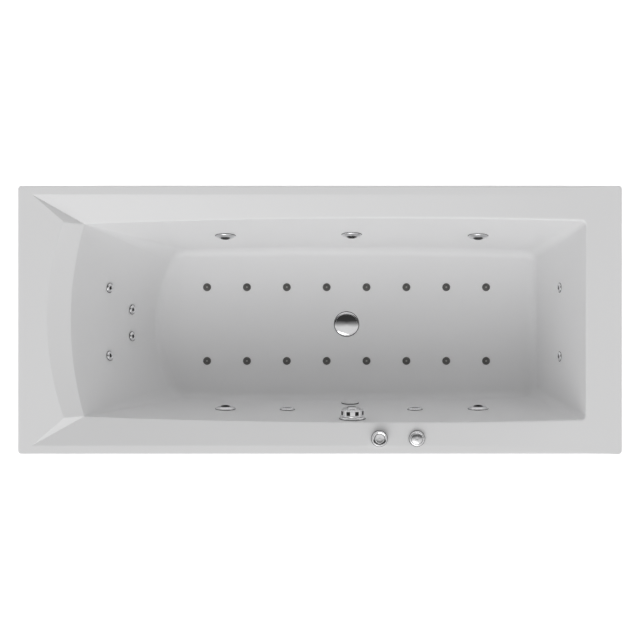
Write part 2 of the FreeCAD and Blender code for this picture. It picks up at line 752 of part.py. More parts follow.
def make_base_board():
    """Reinforcement under the floor, slotted along the two rows of air jets."""
    head = -HALF_LENGTH + HEAD_CORNER + BACKREST_CORNER_RUN + BOARD_MARGIN
    foot = HALF_LENGTH - RIM_FOOT - FOOT_WALL_RUN - BOARD_MARGIN
    half = board_half_width()
    board = block((head, -half, BOARD_BOTTOM), (foot, half, BOARD_TOP))
    first, last = air_jet_places()[0][0], air_jet_places()[-1][0]
    low, high = BOARD_BOTTOM - 1, BOARD_TOP + 1
    half_slot = AIR_SLOT_WIDTH / 2
    cutters = [block((first - AIR_SLOT_WIDTH, side * AIR_JET_Y - half_slot, low),
                     (last + AIR_SLOT_WIDTH, side * AIR_JET_Y + half_slot, high)) for side in (-1, 1)]
    cutters.append(hole(DRAIN_TAIL_DIAMETER + 4 * HOLE_CLEARANCE, low, high, TRIM_SIDES, DRAIN_X))
    save("base_board", board.cut(cutters))


def box_tube(low, high, wall, along):
    """Square tube, open at the ends of its long axis (0, 1 or 2)."""
    inner_low, inner_high = list(low), list(high)
    for axis in range(3):
        grow = 1.0 if axis == along else -wall
        inner_low[axis] -= grow
        inner_high[axis] += grow
    return block(low, high).cut(block(inner_low, inner_high))


def make_frame():
    half = RAIL_SIZE / 2
    end = HALF_LENGTH - RAIL_END_GAP
    rails = [box_tube((-end, side * RAIL_Y - half, RAIL_BOTTOM), (end, side * RAIL_Y + half, BOARD_BOTTOM),
                      RAIL_WALL, 0) for side in (-1, 1)]
    save("frame_rails", *rails)
    reach = HALF_WIDTH - SHELL_WALL
    nut_top = RAIL_BOTTOM + FOOT_NUT_HEIGHT
    bars = []
    for x in CROSSBARS_X:
        bar = box_tube((x - half, -reach, CROSSBAR_BOTTOM), (x + half, reach, RAIL_BOTTOM), RAIL_WALL, 1)
        nut = hexagon(FOOT_NUT_WIDTH, RAIL_BOTTOM, nut_top)
        nuts = [nut.translated(Vector(x, side * FOOT_Y, 0)) for side in (-1, 1)]
        ways = [hole(FOOT_SPINDLE + 2 * MOVING_GAP, CROSSBAR_BOTTOM - 1, nut_top + 1, HOSE_SIDES,
                     x, side * FOOT_Y) for side in (-1, 1)]
        bars.append(bar.fuse(nuts).cut(ways))
    save("frame_crossbars", *bars)
    uprights = []
    half = UPRIGHT_SIZE / 2
    for x in CROSSBARS_X:
        for side in (-1, 1):
            y = side * (reach - half)
            uprights.append(box_tube((x - half, y - half, RAIL_BOTTOM),
                                     (x + half, y + half, RIM_HEIGHT - SHELL_WALL), UPRIGHT_WALL, 2))
    save("frame_uprights", *uprights)


def make_feet():
    top = RAIL_BOTTOM + FOOT_NUT_HEIGHT + FOOT_SPINDLE_REACH
    pad, spindle = FOOT_PAD_WIDTH / 2, FOOT_SPINDLE / 2
    outline = ((0, 0), (pad, 0), (pad, FOOT_PAD_HEIGHT / 2), (2 * spindle, FOOT_PAD_HEIGHT),
               (spindle, FOOT_PAD_HEIGHT), (spindle, top), (0, top))
    for number, (x, y) in enumerate(feet_places(), 1):
        save("foot_%d" % number, turned(outline, SMALL_SIDES).translated(Vector(x, y, 0)))


# ---------------------------------------------------------------- side jets
def jet_flange_diameter():
    return JET_RING_DIAMETER - 2 * (JET_RING_LIP + MOVING_GAP)


def jet_ring():
    """Turning trim ring, hollow behind for the body's flange, with a bevel down to its bore."""
    outer = JET_RING_DIAMETER / 2
    pocket = flats(JET_RING_DIAMETER - 2 * JET_RING_LIP, RING_SIDES) / 2
    bore = flats(JET_RING_BORE, RING_SIDES) / 2
    ceiling = JET_FLANGE_TOP + MOVING_GAP
    return turned(((pocket, WALL_GAP), (outer, WALL_GAP), (outer, JET_RING_SHOULDER),
                   (bore, JET_RING_HEIGHT), (bore, ceiling), (pocket, ceiling)), RING_SIDES)


def jet_nozzle():
    """Directional eyeball: a ball cut flat in front and behind, with a water way that widens to the front."""
    radius = JET_BALL / 2
    ball = []
    for degrees in JET_BALL_CUTS:
        angle = math.radians(degrees)
        ball.append((radius * math.cos(angle), JET_BALL_CENTRE + radius * math.sin(angle)))
    bore = JET_NOZZLE_BORE / 2
    way = [(bore + JET_NOZZLE_FLARE, ball[-1][1]), (bore, JET_BALL_CENTRE), (bore, ball[0][1])]
    return turned(ball + way, BALL_SIDES)


def jet_body():
    """Flanged sleeve and chamber behind the wall."""
    flange, sleeve = jet_flange_diameter() / 2, JET_SLEEVE / 2
    bore = flats(JET_BALL + 2 * MOVING_GAP, SLEEVE_SIDES) / 2
    floor = JET_BACK / 2
    return turned(((bore, JET_FLANGE_TOP), (flange, JET_FLANGE_TOP), (flange, JET_SEAL_TOP),
                   (sleeve, JET_SEAL_TOP), (sleeve, JET_BACK), (0, JET_BACK), (0, floor), (bore, floor)),
                  SLEEVE_SIDES)


def jet_seal():
    return sided_ring(jet_flange_diameter(), flats(JET_SLEEVE + 2 * SEAT_GAP, SLEEVE_SIDES), WALL_GAP,
                      JET_SEAL_TOP, SLEEVE_SIDES)


def pressure_level():
    """Height at which the jets' axes meet the pipe that feeds them."""
    seat = side_jet_seats()[0]
    return seat.at(-(PIPE_Y - abs(seat.point.y)) / abs(seat.normal.y)).z


def make_side_jets():
    bodies, seals = [], []
    for number, seat in enumerate(side_jet_seats(), 1):
        save("side_jet_ring_%d" % number, seat.place(jet_ring()))
        save("side_jet_nozzle_%d" % number, seat.place(jet_nozzle()))
        to_pipe = (PIPE_Y - abs(seat.point.y)) / abs(seat.normal.y) - PRESSURE_PIPE / 2 - SEAT_GAP
        stub = many_sided(JET_STUB, -to_pipe, JET_BACK + 1, SMALL_SIDES)
        bodies.append(seat.place(jet_body().fuse(stub)))
        seals.append(seat.place(jet_seal()))
    save("side_jet_housings", *bodies)
    save("side_jet_seals", *seals)


def make_fitting_nuts():
    """Hexagon lock nuts that clamp the bodies from behind the wall."""
    bodies = [(seat, JET_SLEEVE, SLEEVE_SIDES, NUT_GAP) for seat in side_jet_seats()]
    bodies += [(seat, LIGHT_BODY_DIAMETER, SMALL_SIDES, NUT_GAP) for seat in light_seats()]
    bodies += [(seat, MICRO_STEM, SMALL_SIDES, MICRO_NUT_GAP) for seat in micro_jet_seats()]
    bodies.append((suction_seat(), SUCTION_BODY_DIAMETER, SLEEVE_SIDES, NUT_GAP))
    bodies.append((overflow_seat(), OVERFLOW_BODY_DIAMETER, SLEEVE_SIDES, NUT_GAP))
    nuts = []
    for seat, thread, sides, gap in bodies:
        front = -(SHELL_WALL + gap)
        nut = hexagon(thread + 2 * NUT_RIM, front - NUT_HEIGHT, front)
        nuts.append(seat.place(nut.cut(hole(thread + 2 * SEAT_GAP, front - 2 * NUT_HEIGHT, 0, sides))))
    save("fitting_nuts", *nuts)


# ---------------------------------------------------------------- micro jets, air jets, lights
def make_micro_jets():
    outer, eye = MICRO_DIAMETER / 2, MICRO_EYE / 2
    face = turned(((eye, WALL_GAP), (outer, WALL_GAP), (outer, MICRO_HEIGHT / 3),
                   (outer - MICRO_BEVEL, MICRO_HEIGHT), (eye, MICRO_HEIGHT / 2)), CAP_SIDES)
    back = -(SHELL_WALL + MICRO_BODY_LENGTH)
    body = many_sided(MICRO_STEM, back, 0, SMALL_SIDES)
    seats = micro_jet_seats()
    hoses = []
    for seat in seats:
        elbow = seat.at(back - MICRO_HOSE)
        hub = Vector(PUMP_HEAD_X if elbow.x < 0 else PIPE_FOOT_X, elbow.y, pressure_level())
        end = radial_end(elbow, hub, PRESSURE_PIPE / 2)
        hoses.append(pipe((seat.at(back - SEAT_GAP), elbow, end), MICRO_HOSE, HOSE_SIDES))
    save("micro_jet_faces", *[seat.place(face) for seat in seats])
    save("micro_jet_housings", *[seat.place(body) for seat in seats])
    save("micro_jet_hoses", *hoses)


def make_air_jets():
    outer, stem = AIR_CAP_DIAMETER / 2, AIR_CAP_STEM / 2
    base = FLOOR_Z + SEAT_GAP
    top, tip = base + AIR_CAP_HEIGHT, BOARD_TOP + SEAT_GAP
    cap = turned(((0, top), (outer - AIR_CAP_BEVEL, top), (outer, base), (stem, base), (stem, tip), (0, tip)),
                 CAP_SIDES)
    body = hexagon(AIR_BODY_WIDTH, MANIFOLD_TOP + SEAT_GAP, BOARD_TOP - SEAT_GAP)
    places = [Vector(x, y, 0) for x, y in air_jet_places()]
    save("air_jet_caps", *[cap.translated(place) for place in places])
    save("air_jet_housings", *[body.translated(place) for place in places])


def make_lights():
    outer = LIGHT_BEZEL_DIAMETER / 2
    lens = LIGHT_LENS_DIAMETER / 2
    inner = flats(LIGHT_LENS_DIAMETER + 2 * SEAT_GAP, LIGHT_SIDES) / 2
    bezel = turned(((inner, WALL_GAP), (outer, WALL_GAP), (outer, LIGHT_BEZEL_HEIGHT / 2),
                    (inner, LIGHT_BEZEL_HEIGHT)), LIGHT_SIDES)
    glass = turned(((0, WALL_GAP), (lens, WALL_GAP), (lens, LIGHT_LENS_HEIGHT / 2),
                    (lens / 2, LIGHT_LENS_HEIGHT), (0, LIGHT_LENS_HEIGHT)), LIGHT_SIDES)
    can = many_sided(LIGHT_BODY_DIAMETER, -(SHELL_WALL + LIGHT_BODY_LENGTH), 0, SMALL_SIDES)
    seats = light_seats()
    save("light_bezels", *[seat.place(bezel) for seat in seats])
    save("light_lenses", *[seat.place(glass) for seat in seats])
    save("light_housings", *[seat.place(can) for seat in seats])


# ---------------------------------------------------------------- suction, drain, overflow
def suction_hub():
    """Middle of the chamber behind the wall, where the suction run starts."""
    return suction_seat().at(suction_front() - SUCTION_CHAMBER_LENGTH / 2)


def suction_front():
    return -(SHELL_WALL + NUT_GAP + NUT_HEIGHT + SEAT_GAP)


def make_suction():
    seat = suction_seat()
    outer = STRAINER_DIAMETER / 2
    strainer = turned(((0, WALL_GAP), (outer, WALL_GAP), (outer, STRAINER_HEIGHT / 2),
                       (outer - STRAINER_HEIGHT, STRAINER_HEIGHT), (0, STRAINER_HEIGHT)), RING_SIDES)
    slot = block((outer / 3, -STRAINER_SLOT / 2, STRAINER_HEIGHT / 3),
                 (outer - STRAINER_HEIGHT, STRAINER_SLOT / 2, STRAINER_HEIGHT + 1))
    save("suction_strainer", seat.place(strainer.cut(around(slot, STRAINER_SLOTS))))
    front = suction_front()
    chamber = many_sided(SUCTION_CHAMBER_DIAMETER, front - SUCTION_CHAMBER_LENGTH, front, SLEEVE_SIDES)
    neck = many_sided(SUCTION_BODY_DIAMETER, front - 1, 0, SLEEVE_SIDES)
    save("suction_housing", seat.place(chamber.fuse(neck)))
    hub = suction_hub()
    corner = Vector(PUMP_X, hub.y, hub.z)
    end = Vector(PUMP_X, VOLUTE_INLET_Y - VOLUTE_SPIGOT_LENGTH - SEAT_GAP, hub.z)
    start = radial_end(corner, hub, SUCTION_CHAMBER_DIAMETER / 2)
    save("suction_pipe", pipe(rounded((start, corner, end), SUCTION_BEND, PIPE_BEND_CHORDS), SUCTION_PIPE))


def make_drain():
    outer, tail, bore = DRAIN_FLANGE_DIAMETER / 2, DRAIN_TAIL_DIAMETER / 2, DRAIN_BORE / 2
    base = FLOOR_Z + SEAT_GAP
    top = base + DRAIN_FLANGE_HEIGHT
    bottom = FLOOR_Z - DRAIN_TAIL_LENGTH
    seat_radius = PLUG_DIAMETER / 2 - DRAIN_SEAT
    flange = turned(((bore, bottom), (tail, bottom), (tail, base), (outer, base),
                     (outer - DRAIN_FLANGE_HEIGHT, top), (seat_radius, top), (bore, base)), TRIM_SIDES)
    spider_top = FLOOR_Z - DRAIN_SPIDER_DEPTH
    spider_low = spider_top - DRAIN_SPIDER_HEIGHT
    half = DRAIN_SPIDER_WIDTH / 2
    bar = block((-bore, -half, spider_low), (bore, half, spider_top))
    hub = many_sided(PLUG_STEM + 2 * DRAIN_SPIDER_WIDTH, spider_low, spider_top, SMALL_SIDES)
    guide = hole(PLUG_STEM + 2 * MOVING_GAP, spider_low - 1, spider_top + 1, SMALL_SIDES)
    flange = flange.fuse(around(bar, 4)[:2] + [hub]).cut(guide)
    save("drain_flange", flange.translated(Vector(DRAIN_X, 0, 0)))

    plug_base = top + MOVING_GAP
    crown = plug_base + PLUG_HEIGHT
    plug, stem = PLUG_DIAMETER / 2, PLUG_STEM / 2
    tip = plug_base - PLUG_STEM_LENGTH
    edge = plug_base + PLUG_EDGE
    disc = turned(((0, crown), (plug / 2, crown), (plug, edge), (plug, plug_base), (0, plug_base)),
                  TRIM_SIDES)
    body = disc.fuse(many_sided(PLUG_STEM, tip, edge, SMALL_SIDES))
    save("drain_plug", body.translated(Vector(DRAIN_X, 0, 0)))

    trap = many_sided(TRAP_DIAMETER, TRAP_LOW, TRAP_TOP, SLEEVE_SIDES)
    reach = TRAP_DIAMETER / 2 + TRAP_SPIGOT_LENGTH
    spigot = Part.makeCylinder(TRAP_SPIGOT / 2, reach, Vector(0, 0, TRAP_SPIGOT_Z), Vector(1, 0, 0))
    collar_end = TRAP_DIAMETER / 2 + TRAP_COLLAR_LENGTH
    collar = pipe(((0, 0, TRAP_SPIGOT_Z), (collar_end, 0, TRAP_SPIGOT_Z)),
                  TRAP_SPIGOT + 2 * TRAP_COLLAR, SLEEVE_SIDES)
    socket = hole(DRAIN_TAIL_DIAMETER + 2 * SEAT_GAP, bottom, TRAP_TOP + 1, TRIM_SIDES)
    cup = many_sided(DRAIN_BORE, TRAP_LOW + TRAP_FLOOR, TRAP_TOP, SLEEVE_SIDES)
    way = pipe(((0, 0, TRAP_SPIGOT_Z), (reach + 1, 0, TRAP_SPIGOT_Z)), TRAP_SPIGOT_BORE, SLEEVE_SIDES)
    trap = trap.fuse([collar, spigot]).cut([socket, cup, way])
    save("drain_trap", trap.translated(Vector(DRAIN_X, 0, 0)))


def make_overflow():
    seat = overflow_seat()
    outer, shaft = ROSETTE_DIAMETER / 2, KNOB_SHAFT / 2
    eye = flats(KNOB_SHAFT + 2 * MOVING_GAP, TRIM_SIDES) / 2
    top = WALL_GAP + ROSETTE_HEIGHT
    rosette = turned(((eye, WALL_GAP), (outer, WALL_GAP), (outer, top - ROSETTE_BEVEL),
                      (outer - ROSETTE_BEVEL, top), (eye, top)), TRIM_SIDES)
    save("overflow_rosette", seat.place(rosette))
    knob_base = top + MOVING_GAP
    knob_top = knob_base + KNOB_HEIGHT
    roof = knob_top - KNOB_WALL
    knob = KNOB_DIAMETER / 2
    inner = knob - KNOB_WALL
    cup = turned(((0, knob_top), (knob - KNOB_BEVEL, knob_top), (knob, knob_top - KNOB_BEVEL),
                  (knob, knob_base), (inner, knob_base), (inner, roof), (0, roof)), TRIM_SIDES)
    cup = cup.fuse(rod(KNOB_SHAFT, -SHELL_WALL, roof + 1))
    save("overflow_knob", seat.place(cup))
    back = -(SHELL_WALL + OVERFLOW_BODY_LENGTH)
    housing = many_sided(OVERFLOW_BODY_DIAMETER, back, 0, SLEEVE_SIDES)
    socket = hole(KNOB_SHAFT + 2 * MOVING_GAP, -SHELL_WALL - MOVING_GAP, 1, SLEEVE_SIDES)
    save("overflow_elbow", seat.place(housing.cut(socket)))
    hub = seat.at(back + OVERFLOW_PIPE / 2)
    lane = -(HALF_WIDTH - OVERFLOW_PIPE_EDGE)
    shoulder = Vector(OVERFLOW_PIPE_X, lane, RIM_HEIGHT - OVERFLOW_PIPE_SHOULDER)
    turn = Vector(OVERFLOW_PIPE_X, lane, TRAP_SPIGOT_Z)
    end = Vector(DRAIN_X, -(TRAP_DIAMETER / 2 + SEAT_GAP), TRAP_SPIGOT_Z)
    elbow = Vector(OVERFLOW_TURN_X, hub.y, hub.z)
    corners = (hub, elbow, shoulder, turn, Vector(DRAIN_X, -RAIL_Y, end.z), end)
    run = pipe(corners, OVERFLOW_PIPE)
    around_housing = many_sided(OVERFLOW_BODY_DIAMETER + 2 * SEAT_GAP, back - 1, 0, SLEEVE_SIDES)
    save("overflow_pipe", run.cut(seat.place(around_housing)))


# ---------------------------------------------------------------- deck controls
def make_regulator():
    base = RIM_HEIGHT + MOVING_GAP
    top, tip = base + REGULATOR_HEIGHT, base - REGULATOR_STEM_LENGTH
    knob = REGULATOR_DIAMETER / 2
    cap = turned(((0, top), (knob - REGULATOR_BEVEL, top), (knob, top - REGULATOR_BEVEL), (knob, base),
                  (0, base)), TRIM_SIDES)
    cap = cap.fuse(rod(REGULATOR_STEM, tip, base + 1))
    place = Vector(REGULATOR_X, -DECK_Y, 0)
    save("regulator_knob", cap.translated(place))
    low = RIM_HEIGHT - VALVE_LENGTH
    body = many_sided(VALVE_DIAMETER, low, RIM_HEIGHT - SEAT_GAP, SLEEVE_SIDES)
    tail = many_sided(AIR_PIPE, air_level() + AIR_PIPE / 2 + SEAT_GAP, low + 1, SMALL_SIDES)
    clamp = RIM_HEIGHT - SHELL_WALL - DECK_FALL
    collar = hexagon(VALVE_DIAMETER + 2 * NUT_RIM, clamp - NUT_HEIGHT, clamp)
    way = hole(REGULATOR_STEM + 2 * MOVING_GAP, tip - MOVING_GAP, RIM_HEIGHT, SMALL_SIDES)
    save("regulator_valve", body.fuse([tail, collar]).cut(way).translated(place))


def make_button():
    """Push button: a bezel with its switch body, and the button that travels in it."""
    base = RIM_HEIGHT + SEAT_GAP
    top, step = base + BEZEL_HEIGHT, base + 1
    outer = BEZEL_DIAMETER / 2
    well = flats(BUTTON_DIAMETER + 2 * MOVING_GAP, RING_SIDES) / 2
    trim = turned(((well, top), (outer - BEZEL_BEVEL, top), (outer, top - BEZEL_BEVEL), (outer, base),
                   (0, base), (0, step), (well, step)), RING_SIDES)
    switch = many_sided(SWITCH_DIAMETER, RIM_HEIGHT - SWITCH_LENGTH, step, SLEEVE_SIDES)
    deep = base - BUTTON_STEM_LENGTH - BUTTON_TRAVEL
    guide = hole(BUTTON_STEM + 2 * MOVING_GAP, deep - MOVING_GAP, top, SMALL_SIDES)
    place = Vector(BUTTON_X, -DECK_Y, 0)
    save("button_bezel", trim.fuse(switch).cut(guide).translated(place))
    low, high = step + BUTTON_TRAVEL + MOVING_GAP, top + 1
    button = BUTTON_DIAMETER / 2
    press = turned(((0, high), (button - BEZEL_BEVEL, high), (button, high - 1), (button, low), (0, low)),
                   RING_SIDES)
    press = press.fuse(many_sided(BUTTON_STEM, deep + BUTTON_TRAVEL, low + 1, SMALL_SIDES))
    save("start_button", press.translated(place))


# ---------------------------------------------------------------- pipework
def air_level():
    return pressure_level() + AIR_PIPE_RISE


def make_pipework():
    """Closed pressure ring fed by the pump, air line of the side jets, and the channels of the floor jets."""
    level = pressure_level()
    loop = ((0, -PIPE_Y), (PUMP_HEAD_X, -PIPE_Y), (PUMP_HEAD_X, PIPE_Y), (PIPE_FOOT_X, PIPE_Y),
            (PIPE_FOOT_X, -PIPE_Y), (0, -PIPE_Y))
    ring = rounded([(x, y, level) for x, y in loop], PIPE_BEND, PIPE_BEND_CHORDS)
    outlet_top = suction_hub().z + volute_reach()
    riser = many_sided(PUMP_OUTLET_DIAMETER, outlet_top + SEAT_GAP, level, PIPE_SIDES)
    riser = riser.translated(Vector(PUMP_HEAD_X, pump_outlet_y(), 0))
    save("pressure_pipe", pipe(ring, PRESSURE_PIPE).fuse(riser))

    level = air_level()
    start = JET_CENTRE_X - JET_PITCH - JET_STUB
    path = [(x, y, level) for x, y in ((start, -PIPE_Y), (PIPE_FOOT_X, -PIPE_Y), (PIPE_FOOT_X, PIPE_Y),
                                       (start, PIPE_Y))]
    runs = [pipe(rounded(path, PIPE_BEND, PIPE_BEND_CHORDS), AIR_PIPE)]
    for seat in side_jet_seats():
        side = 1 if seat.point.y > 0 else -1
        hub = seat.at(JET_BACK + AIR_BRANCH)
        upward = seat.upward()
        foot = hub + upward * (JET_SLEEVE / 2 + SEAT_GAP)
        corner = foot + upward * ((level - foot.z) / upward.z)
        end = Vector(corner.x, side * (PIPE_Y - AIR_PIPE / 2 - SEAT_GAP), level)
        runs.append(pipe((foot, corner, end), AIR_BRANCH, HOSE_SIDES))
    save("air_pipe", *runs)
    save("air_manifold", manifold())


def manifold():
    """Two channels under the air jets, a cross channel and the feed from the blower."""
    places = air_jet_places()
    head = places[0][0] - AIR_JET_PITCH / 4
    foot = places[-1][0] + MANIFOLD_WIDTH
    half = MANIFOLD_WIDTH / 2
    low = MANIFOLD_Z - MANIFOLD_PIPE / 2
    rows = [block((head, side * AIR_JET_Y - half, low), (foot, side * AIR_JET_Y + half, MANIFOLD_TOP))
            for side in (-1, 1)]
    link = block((head, -AIR_JET_Y, low), (head + MANIFOLD_WIDTH, AIR_JET_Y, MANIFOLD_TOP))
    feed_z = BOARD_BOTTOM - MANIFOLD_FEED_DROP
    start_x = PUMP_X + BLOWER_DIAMETER / 2 + MANIFOLD_PIPE + SEAT_GAP
    turn_x = start_x + 2 * MANIFOLD_PIPE
    level = PUMP_BOARD_TOP + BLOWER_OUTLET_Z
    corners = ((start_x, BLOWER_Y, level), (turn_x, BLOWER_Y, level), (turn_x, BLOWER_Y, feed_z),
               (turn_x, AIR_JET_Y, feed_z), (turn_x + 4 * MANIFOLD_PIPE, AIR_JET_Y, MANIFOLD_Z),
               (head + 1, AIR_JET_Y, MANIFOLD_Z))
    feed = pipe(corners, MANIFOLD_PIPE * MANIFOLD_FEED_SHARE, SMALL_SIDES)
    return rows[0].fuse([rows[1], link, feed])


# ---------------------------------------------------------------- pump, blower, control box
def pump_outlet_y():
    return VOLUTE_INLET_Y + VOLUTE_WIDTH / 2


def volute_reach():
    return VOLUTE_RADIUS + VOLUTE_GROWTH + VOLUTE_OUTLET_LENGTH


def volute_outline():
    """Snail outline in the pump's own plane, its reach growing round to the outlet side."""
    points = []
    for i in range(VOLUTE_CHORDS):
        share = i / (VOLUTE_CHORDS - 1)
        turn = math.pi * (1 + 2 * share)
        reach = VOLUTE_RADIUS + VOLUTE_GROWTH * share
        points.append(Vector(reach * math.cos(turn), reach * math.sin(turn), 0))
    return Part.Face(Part.makePolygon(points + points[:1]))


def impeller_blade(height):
    """Swept-back blade of two flat stretches."""
    root, tip, sweep, width = PUMP_SHAFT / 4, IMPELLER_RADIUS - 1, IMPELLER_SWEEP, IMPELLER_BLADE
    middle = (PUMP_SHAFT + tip) / 2
    points = [Vector(x, y, 0) for x, y in ((root, 0), (middle, sweep), (tip, 0), (tip, -width),
                                           (middle, sweep - width), (root, -width), (root, 0))]
    return Part.Face(Part.makePolygon(points)).extrude(UP * height)


def make_pump():
    """Water-jet pump, built in its own frame, whose +Z is the inlet side, then laid on its board."""
    z = suction_hub().z
    turn = Placement(Vector(PUMP_X, VOLUTE_INLET_Y, z),
                     Rotation(Vector(1, 0, 0), Vector(0, 0, 1), Vector(0, -1, 0), "ZXY"))

    def placed(solid):
        copy = solid.copy()
        copy.Placement = turn.multiply(solid.Placement)
        return copy

    back = -VOLUTE_WIDTH
    case = volute_outline().extrude(Vector(0, 0, back))
    outlet = pipe(((-PUMP_OUTLET_OFFSET, 0, back / 2), (-PUMP_OUTLET_OFFSET, volute_reach(), back / 2)),
                  PUMP_OUTLET_DIAMETER)
    inlet = many_sided(SUCTION_PIPE, -1, VOLUTE_SPIGOT_LENGTH, PIPE_SIDES)
    union = hexagon(SUCTION_PIPE + 2 * NUT_RIM, VOLUTE_SPIGOT_LENGTH / 2, VOLUTE_SPIGOT_LENGTH)
    room = hole(2 * IMPELLER_RADIUS + VOLUTE_WALL, back + VOLUTE_WALL, -VOLUTE_WALL, RING_SIDES)
    shaft_hole = hole(PUMP_SHAFT + 2 * MOVING_GAP, back - 1, back + 2 * VOLUTE_WALL, SMALL_SIDES)
    save("pump_volute", placed(case.fuse([outlet, inlet, union]).cut([room, shaft_hole])))

    low, high = back + 2 * VOLUTE_WALL, -2 * VOLUTE_WALL
    disc_top = low + IMPELLER_BLADE
    motor_back = back - MOTOR_LENGTH
    disc = many_sided(2 * IMPELLER_RADIUS, low, disc_top, RING_SIDES)
    blade = impeller_blade(high - disc_top).translated(Vector(0, 0, disc_top))
    shaft = rod(PUMP_SHAFT, motor_back + 2 * VOLUTE_WALL, high)
    save("pump_rotor", placed(disc.fuse(around(blade, IMPELLER_BLADES) + [shaft])))

    reach = MOTOR_DIAMETER / 2 + MOTOR_FIN_HEIGHT
    motor = many_sided(MOTOR_DIAMETER, motor_back, back, TRIM_SIDES)
    fin = block((MOTOR_DIAMETER / 2 - 2, -MOTOR_FIN_WIDTH / 2, motor_back + MOTOR_FIN_MARGIN),
                (reach, MOTOR_FIN_WIDTH / 2, back - MOTOR_FIN_MARGIN))
    drop = z - PUMP_BOARD_TOP
    half = MOTOR_FOOT_SPREAD / 2
    sole = VOLUTE_WALL - MOTOR_DIAMETER / 2
    foot_ends = (motor_back + MOTOR_FIN_MARGIN, back - MOTOR_FIN_MARGIN - MOTOR_FOOT_LENGTH)
    feet = [block((-half, -drop, end), (half, sole, end + MOTOR_FOOT_LENGTH)) for end in foot_ends]
    half = MOTOR_BOX_WIDTH / 2
    box = block((-half, MOTOR_DIAMETER / 2 - VOLUTE_WALL, motor_back + 2 * MOTOR_FIN_MARGIN),
                (half, MOTOR_DIAMETER / 2 + MOTOR_BOX_HEIGHT, back - 3 * MOTOR_FIN_MARGIN))
    way = hole(PUMP_SHAFT + 2 * MOVING_GAP, motor_back + VOLUTE_WALL, back + 1, SMALL_SIDES)
    save("pump_motor", placed(motor.fuse(around(fin, MOTOR_FINS) + feet + [box]).cut(way)))

    cowl = many_sided(2 * reach, motor_back - COWL_LENGTH, motor_back, TRIM_SIDES)
    slot = block((reach / 4, -MOTOR_FIN_WIDTH, motor_back - COWL_LENGTH - 1),
                 (reach * 3 / 4, MOTOR_FIN_WIDTH, motor_back - COWL_LENGTH + VOLUTE_WALL))
    save("motor_cowl", placed(cowl.cut(around(slot, COWL_SLOTS))))

    half = PUMP_BOARD_WIDTH / 2
    far = BLOWER_Y + BLOWER_DIAMETER / 2
    save("pump_board", block((PUMP_X - half, -RAIL_Y - RAIL_SIZE / 2, BOARD_BOTTOM),
                             (PUMP_X + half, far, PUMP_BOARD_TOP)))


def make_blower():
    outer, motor = BLOWER_DIAMETER / 2, BLOWER_MOTOR_DIAMETER / 2
    top = BLOWER_HEIGHT
    crown = top + BLOWER_MOTOR_HEIGHT
    case = turned(((0, 0), (outer, 0), (outer, top - BLOWER_BEVEL), (outer - BLOWER_BEVEL, top), (motor, top),
                   (motor, crown), (0, crown)), RING_SIDES)
    spigot = pipe(((0, 0, BLOWER_OUTLET_Z), (outer + MANIFOLD_PIPE, 0, BLOWER_OUTLET_Z)), MANIFOLD_PIPE,
                  SMALL_SIDES)
    low = 2 * BLOWER_WALL
    fan_top = low + BLOWER_FAN_HEIGHT
    room = hole(BLOWER_FAN_DIAMETER + BLOWER_WALL, BLOWER_WALL, fan_top + BLOWER_WALL, RING_SIDES)
    shaft_room = hole(PUMP_SHAFT + 2 * MOVING_GAP, fan_top, top, SMALL_SIDES)
    place = Vector(PUMP_X, BLOWER_Y, PUMP_BOARD_TOP)
    save("air_blower", case.fuse(spigot).cut([room, shaft_room]).translated(place))
    fan = BLOWER_FAN_DIAMETER / 2
    disc_top = low + BLOWER_WALL / 2
    disc = many_sided(2 * fan, low, disc_top, RING_SIDES)
    blade = block((fan / 3, -1, disc_top), (fan - 1, 1, fan_top))
    shaft = rod(PUMP_SHAFT, low, top - BLOWER_WALL)
    save("blower_fan", disc.fuse(around(blade, BLOWER_FAN_BLADES) + [shaft]).translated(place))


def make_control_box():
    """Electrical box with bare cable glands, standing on the left rail at the foot end."""
    foot = HALF_LENGTH - RAIL_END_GAP
    x0 = foot - CONTROL_BOX_LENGTH
    y0, y1 = RAIL_Y - CONTROL_BOX_WIDTH / 2, RAIL_Y + CONTROL_BOX_WIDTH / 2
    split = BOARD_BOTTOM + CONTROL_BOX_HEIGHT
    box = block((x0, y0, BOARD_BOTTOM), (foot, y1, split))
    level = BOARD_BOTTOM + 2 * GLAND_DIAMETER
    glands = []
    for i in range(CONTROL_GLANDS):
        x = x0 + CONTROL_BOX_LENGTH * (i + 1) / (CONTROL_GLANDS + 1)
        glands.append(pipe(((x, y0 - GLAND_LENGTH, level), (x, y0 + 1, level)), GLAND_DIAMETER, HOSE_SIDES))
    save("control_box", box.fuse(glands))
    lid = block((x0 - CONTROL_LID_LIP, y0 - CONTROL_LID_LIP, split),
                (foot + CONTROL_LID_LIP, y1 + CONTROL_LID_LIP, split + CONTROL_LID_HEIGHT))
    save("control_box_lid", lid)


def main():
    os.makedirs("parts", exist_ok=True)
    make_shell()
    make_base_board()
    make_frame()
    make_feet()
    make_side_jets()
    make_fitting_nuts()
    make_micro_jets()
    make_air_jets()
    make_lights()
    make_suction()
    make_drain()
    make_overflow()
    make_regulator()
    make_button()
    make_pipework()
    make_pump()
    make_blower()
    make_control_box()


if __name__ == "__main__":
    main()
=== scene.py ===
"""Looks of the jetted bathtub: moulded shell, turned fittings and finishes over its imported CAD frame."""
import json
import math
from contextlib import contextmanager

import bpy
import numpy as np
from bpy.props import FloatProperty, FloatVectorProperty, IntProperty, PointerProperty
from mathutils import Matrix, Vector

